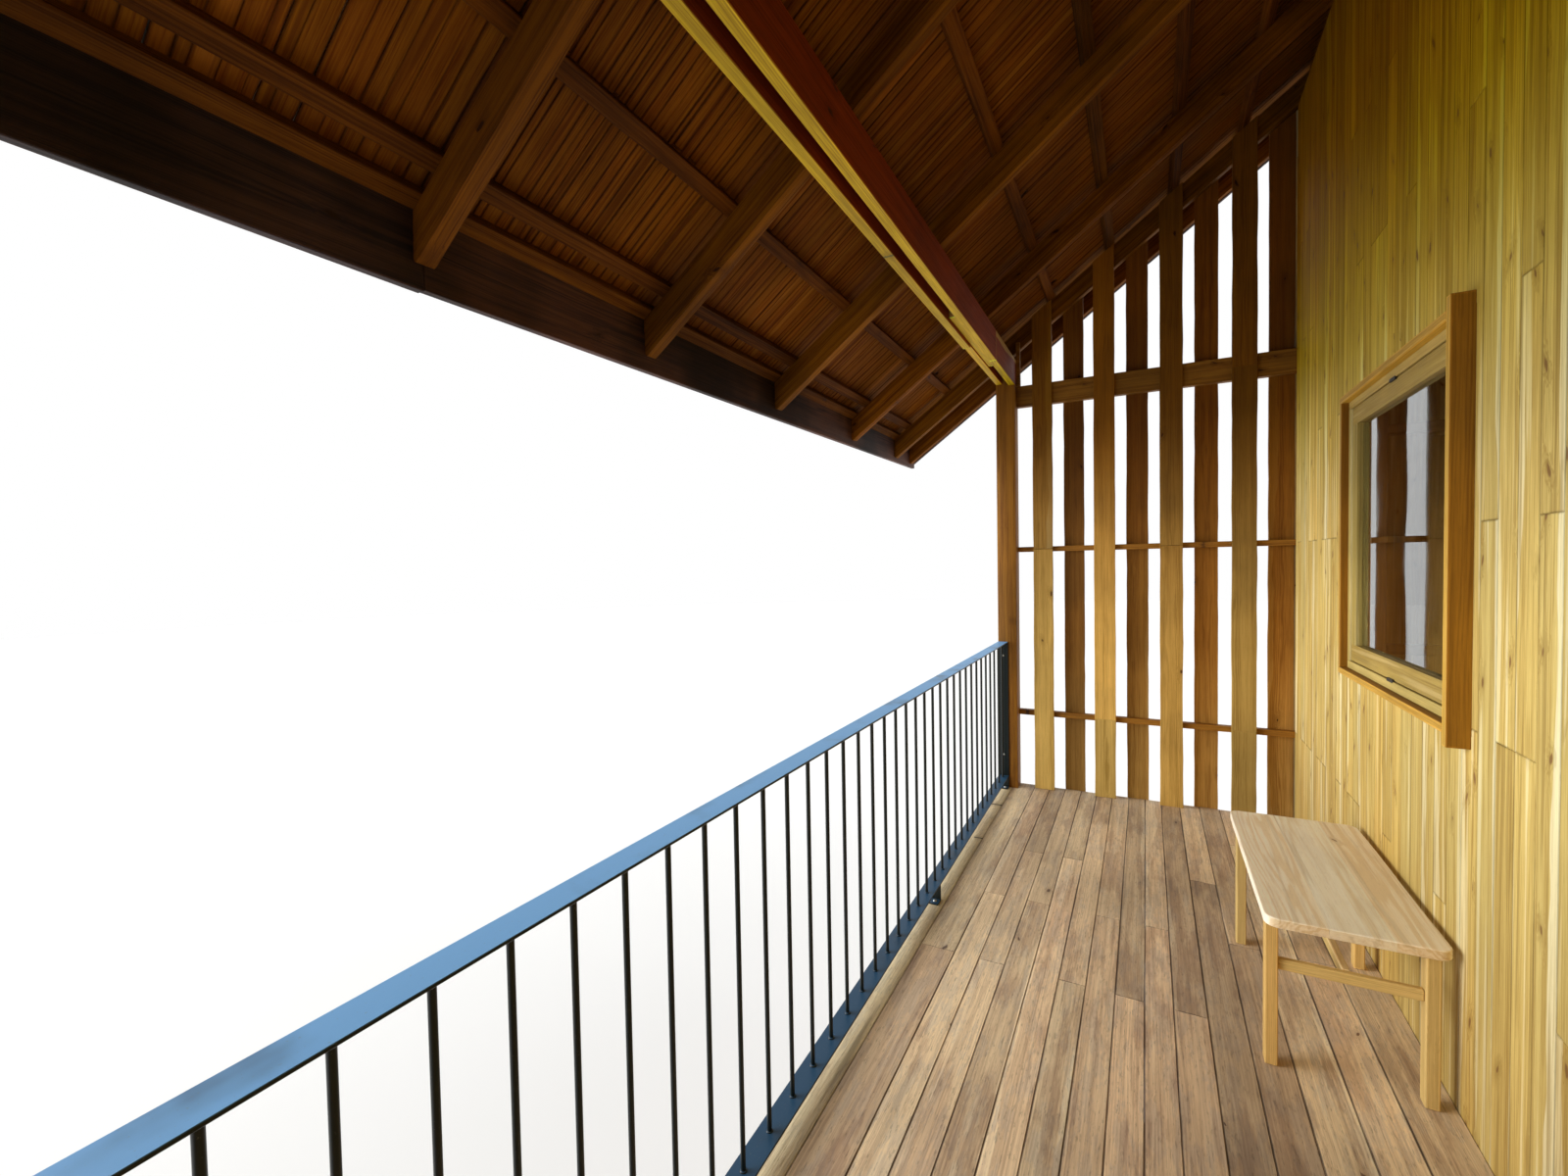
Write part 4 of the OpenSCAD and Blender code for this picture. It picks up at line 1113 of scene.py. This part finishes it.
# Faces that look up get a painted sky reflection in patches; the rest is a nearly black painted dark
# reflection.
painted_sky_sheen = net.times(net.rise(facing, 0.6, 0.95), net.rise(net.noise(place, 6.0, 3.0), 0.1, 0.5))
dark_below, pale_above = deck_high.z + 0.2, deck_high.z + 0.8
lifted = net.rise(net.split(place)[2], dark_below, pale_above)
sky_sheen_colour = net.blend(lifted, (0.015, 0.055, 0.11), (0.19, 0.47, 0.86))
colour = net.blend(painted_sky_sheen, (0.005, 0.009, 0.009), sky_sheen_colour)
shader["Specular IOR Level"].default_value = 0.3
speck = net.rise(net.noise(place, 260.0), 0.68, 0.75)
net.put(net.blend(net.times(speck, 0.3), colour, (0.2, 0.18, 0.15)), shader["Base Color"])
net.put(net.line(painted_sky_sheen, 0.1, 0.35), shader["Roughness"])
net.put(net.bump(net.noise(place, 90.0), 0.0002), shader["Normal"])

for name, arris in (("railing_bars", 0.001), ("railing_balusters", 0.0005), ("railing_fixings", 0.001)):
    piece = worn_copy(name, arris)
    if name == "railing_balusters":
        smooth(piece)
    dress(piece, steel, "railing_steel", name)

# %% [markdown]
# Weld beads, screw heads and bolts are small round lumps. Each starts as a coarse ball that is flattened
# in edit mode towards the face that it sits on. One bead is copied to both ends of every baluster.

# %% Weld beads
baluster_low, baluster_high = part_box("railing_balusters")
baluster_count, baluster_pitch, baluster_r = 42, 0.1222, 0.006
baluster_x = baluster_low.x + baluster_r
baluster_y = (baluster_low.y + baluster_high.y) / 2
bead_r, bead_h = 0.0105, 0.004


def lump(place, radius, flat):
    """A round lump, flattened by three shares about its middle."""
    bpy.ops.object.select_all(action="DESELECT")
    bpy.ops.mesh.primitive_uv_sphere_add(segments=10, ring_count=5, radius=radius, location=place)
    ball = bpy.context.object
    settle(ball)
    with editing(ball):
        bpy.ops.transform.resize(value=flat, center_override=place)
        bpy.ops.mesh.faces_shade_smooth()
    return ball


first_bead = lump((baluster_x, baluster_y, baluster_low.z), bead_r, (1, 1, bead_h / bead_r))
back = Matrix.Translation((-baluster_x, -baluster_y, -baluster_low.z))
beads = [first_bead]
chance = random.Random(7)
for i in range(baluster_count):
    for z in (baluster_low.z, baluster_high.z):
        if i == 0 and z == baluster_low.z:
            continue
        spot = Matrix.Translation((baluster_x + i * baluster_pitch, baluster_y, z))
        turn = Matrix.Rotation(chance.uniform(0, 6), 4, "Z")
        size = Matrix.Scale(chance.uniform(0.85, 1.1), 4)
        beads.append(another(first_bead, spot @ turn @ size @ back))
dress(gather("weld_beads", beads), steel, "railing_steel")

# %% Screws and bolts
def dull_metal(name, grain, dark, light, metallic):
    """Bare metal with a fine cloudy grain."""
    material, net, shader = new_material(name)
    dull = net.noise(net.place(), grain)
    net.put(net.blend(dull, dark, light), shader["Base Color"])
    net.put(net.line(dull, 0.3, 0.3), shader["Roughness"])
    shader["Metallic"].default_value = metallic
    return material


zinc = dull_metal("zinc", 300.0, (0.62, 0.63, 0.6), (0.4, 0.4, 0.38), 0.8)
bars_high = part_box("railing_bars")[1]
plate_t, foot_t, bolt_off = 0.006, 0.006, 0.0115
plate_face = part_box("railing_fixings")[0].x + plate_t
screw_r, screw_levels = 0.007, (0.883, 0.218)
bolt_r, foot_pitch, foot_l, newel_w = 0.009, 1.65, 0.05, 0.05
bolt_y, foot_top = baluster_y + bolt_off, deck_high.z + foot_t
feet = int((bars_high.x - newel_w - foot_l - plate_face) / foot_pitch) + 1
heads = [lump((plate_face, baluster_y, deck_high.z + level), screw_r, (0.4, 1, 1)) for level in screw_levels]
heads += [lump((plate_face + i * foot_pitch + foot_l / 2, bolt_y, foot_top), bolt_r, (1, 1, 0.6))
          for i in range(feet)]
dress(gather("screws_and_bolts", heads), zinc, "railing_steel")

# %% [markdown]
# Each sash turns on a pivot in the middle of its top and its bottom edge. A small dark plate shows there.

# %% Pivot plates
plate_l, plate_h, plate_d, proud = 0.056, 0.012, 0.012, 0.0065
gap_z = 0.057
sash_low, sash_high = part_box("window_sashes")
boxes = []
for z in (sill_z + gap_z, head_z - gap_z):
    z0, z1 = z - plate_h / 2, z + plate_h / 2
    for x in (-window_x, window_x):
        a, b = x - plate_l / 2, x + plate_l / 2
        boxes += [((a, sash_low.y - proud, z0), (b, sash_low.y + plate_d, z1)),
                  ((a, sash_high.y - plate_d, z0), (b, sash_high.y + proud, z1))]
    a, b = gable_mid - plate_l / 2, gable_mid + plate_l / 2
    boxes += [((sash_low.x - proud, a, z0), (sash_low.x + plate_d, b, z1)),
              ((sash_high.x - plate_d, a, z0), (sash_high.x + proud, b, z1))]
iron = dull_metal("dark_iron", 200.0, (0.012, 0.011, 0.01), (0.03, 0.026, 0.022), 0.5)
dress(lay("pivot_plates", boxes, arris=0.001), iron, "railing_steel")

# %% [markdown]
# The bench's top is three boards glued side by side. It starts as one block with rounded corners and
# worn arrises. Only then is it cut into boards, so that the joints stay sharp and hardly show.

# %% The bench
top_low, top_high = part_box("bench_top")
corner_r = 0.035
board_lines = [top_low.y + share * (top_high.y - top_low.y) for share in (0.36, 0.71)]


def bench_board(near, far):
    """One board of the top: the rounded block, cut along its neighbours."""
    board = block("bench_board", top_low, top_high)
    with editing(board, "EDGE", lambda place, way: abs(way.z) > aligned):
        bpy.ops.mesh.bevel(offset=corner_r, segments=6)
    take_arrises(board, 0.0025)
    if near is not None:
        cut_off(board, (0, near, 0), (0, -1, 0))
    if far is not None:
        cut_off(board, (0, far, 0), (0, 1, 0))
    return board


sides = zip([None, *board_lines], [*board_lines, None])
bench_top = gather("bench_boards", [bench_board(near, far) for near, far in sides])
roughen(bench_top, 0.07, 0.003, 0.11)
finish(bench_top, 110, "bench", "bench_timber", "bench_top")

# %% The bench's legs and rails
frame_low, frame_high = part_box("bench_frame")
leg_l, leg_w = 0.040, 0.032
rail_t, rail_low, rail_high = 0.020, 0.288, 0.320
legs_x = (frame_low.x, frame_high.x - leg_l)
legs_y = (frame_low.y, frame_high.y - leg_w)
frame_mid = (frame_low + frame_high) / 2
z0, z1 = frame_low.z + rail_low, frame_low.z + rail_high
boxes = [((x, y, frame_low.z), (x + leg_l, y + leg_w, frame_high.z)) for x in legs_x for y in legs_y]
boxes += [((x + (leg_l - rail_t) / 2, legs_y[0] + leg_w, z0), (x + (leg_l + rail_t) / 2, legs_y[1], z1))
          for x in legs_x]
boxes.append(((legs_x[0] + (leg_l + rail_t) / 2, frame_mid.y - rail_t / 2, z0),
              (legs_x[1] + (leg_l - rail_t) / 2, frame_mid.y + rail_t / 2, z1)))
bench_frame = lay("bench_legs_and_rails", boxes, arris=0.0025)
finish(bench_frame, 111, "bench_leg", "bench_timber", "bench_frame")

# %% [markdown]
# The footings are cast concrete: grey, with small pores and damp lower edges.

# %% Footings
concrete, net, shader = new_material("concrete")
place = net.place()
cloud, grit = net.noise(place, 5.0, 4.0), net.noise(place, 140.0, 3.0)
damp = net.rise(net.split(place)[2], 0.07, 0.0)
colour = net.blend(net.rise(cloud, 0.3, 0.7), (0.40, 0.385, 0.355), (0.54, 0.52, 0.48))
colour = net.blend(net.times(damp, 0.5), colour, (0.25, 0.24, 0.2))
pits = net.times(net.rise(grit, 0.62, 0.7), 0.5)
net.put(net.blend(pits, colour, (0.2, 0.19, 0.17)), shader["Base Color"])
shader["Roughness"].default_value = 0.9
net.put(net.bump(grit, 0.002), shader["Normal"])
dress(worn_copy("footings", 0.012, 2), concrete, "footing", "footings")

# %% [markdown]
# The floor is a plain pale sheet. The world is white where the camera, a mirror or glass looks at it,
# and a softer white as light. Three wide suns shine from the open side and from behind the house.

# %% Floor and world
floor_reach, floor_drop = 60.0, 0.001
bpy.ops.object.select_all(action="DESELECT")
bpy.ops.mesh.primitive_circle_add(vertices=64, radius=floor_reach, fill_type="NGON")
ground = bpy.context.object
ground.name = "pale_floor"
ground.location.z = -floor_drop
settle(ground)
pale, net, shader = new_material("pale_floor")
net.put(net.blend(net.noise(net.place(), 0.4), (0.80, 0.80, 0.79), (0.83, 0.83, 0.82)), shader["Base Color"])
shader["Roughness"].default_value = 0.9
ground.data.materials.append(pale)

world_light = 0.42
world = bpy.data.worlds.new("studio")
world.use_nodes = True
bpy.context.scene.world = world
net = Net(world.node_tree)
world.node_tree.nodes.clear()
path = net.node("LightPath").outputs
seen = net.math("MAXIMUM", path["Is Glossy Ray"], path["Is Transmission Ray"])
seen = net.math("MAXIMUM", path["Is Camera Ray"], seen)
light, backdrop = (net.node("Background", white, strength).outputs[0] for strength in (world_light, 1.0))
net.put(net.node("MixShader", seen, light, backdrop).outputs[0], net.node("OutputWorld").inputs["Surface"])
print("The floor reaches", floor_reach, "m")

# %% Lamps
def sun(name, strength, angle, turn):
    """A lamp from far away, as soft as its angle is wide."""
    lamp = bpy.data.objects.new(name, bpy.data.lights.new(name, "SUN"))
    lamp.data.energy = strength
    lamp.data.angle = math.radians(angle)
    lamp.rotation_euler = [math.radians(a) for a in turn]
    bpy.context.scene.collection.objects.link(lamp)


sun("open_side_low", 3.3, 34, (81, 0, 25))
sun("open_side_high", 2.2, 44, (40, 0, 22))
sun("behind", 0.8, 60, (50, 0, 160))
print("Three lamps are set")

# %% The view and the last lines
scene = bpy.context.scene
scene.view_settings.view_transform = "Standard"
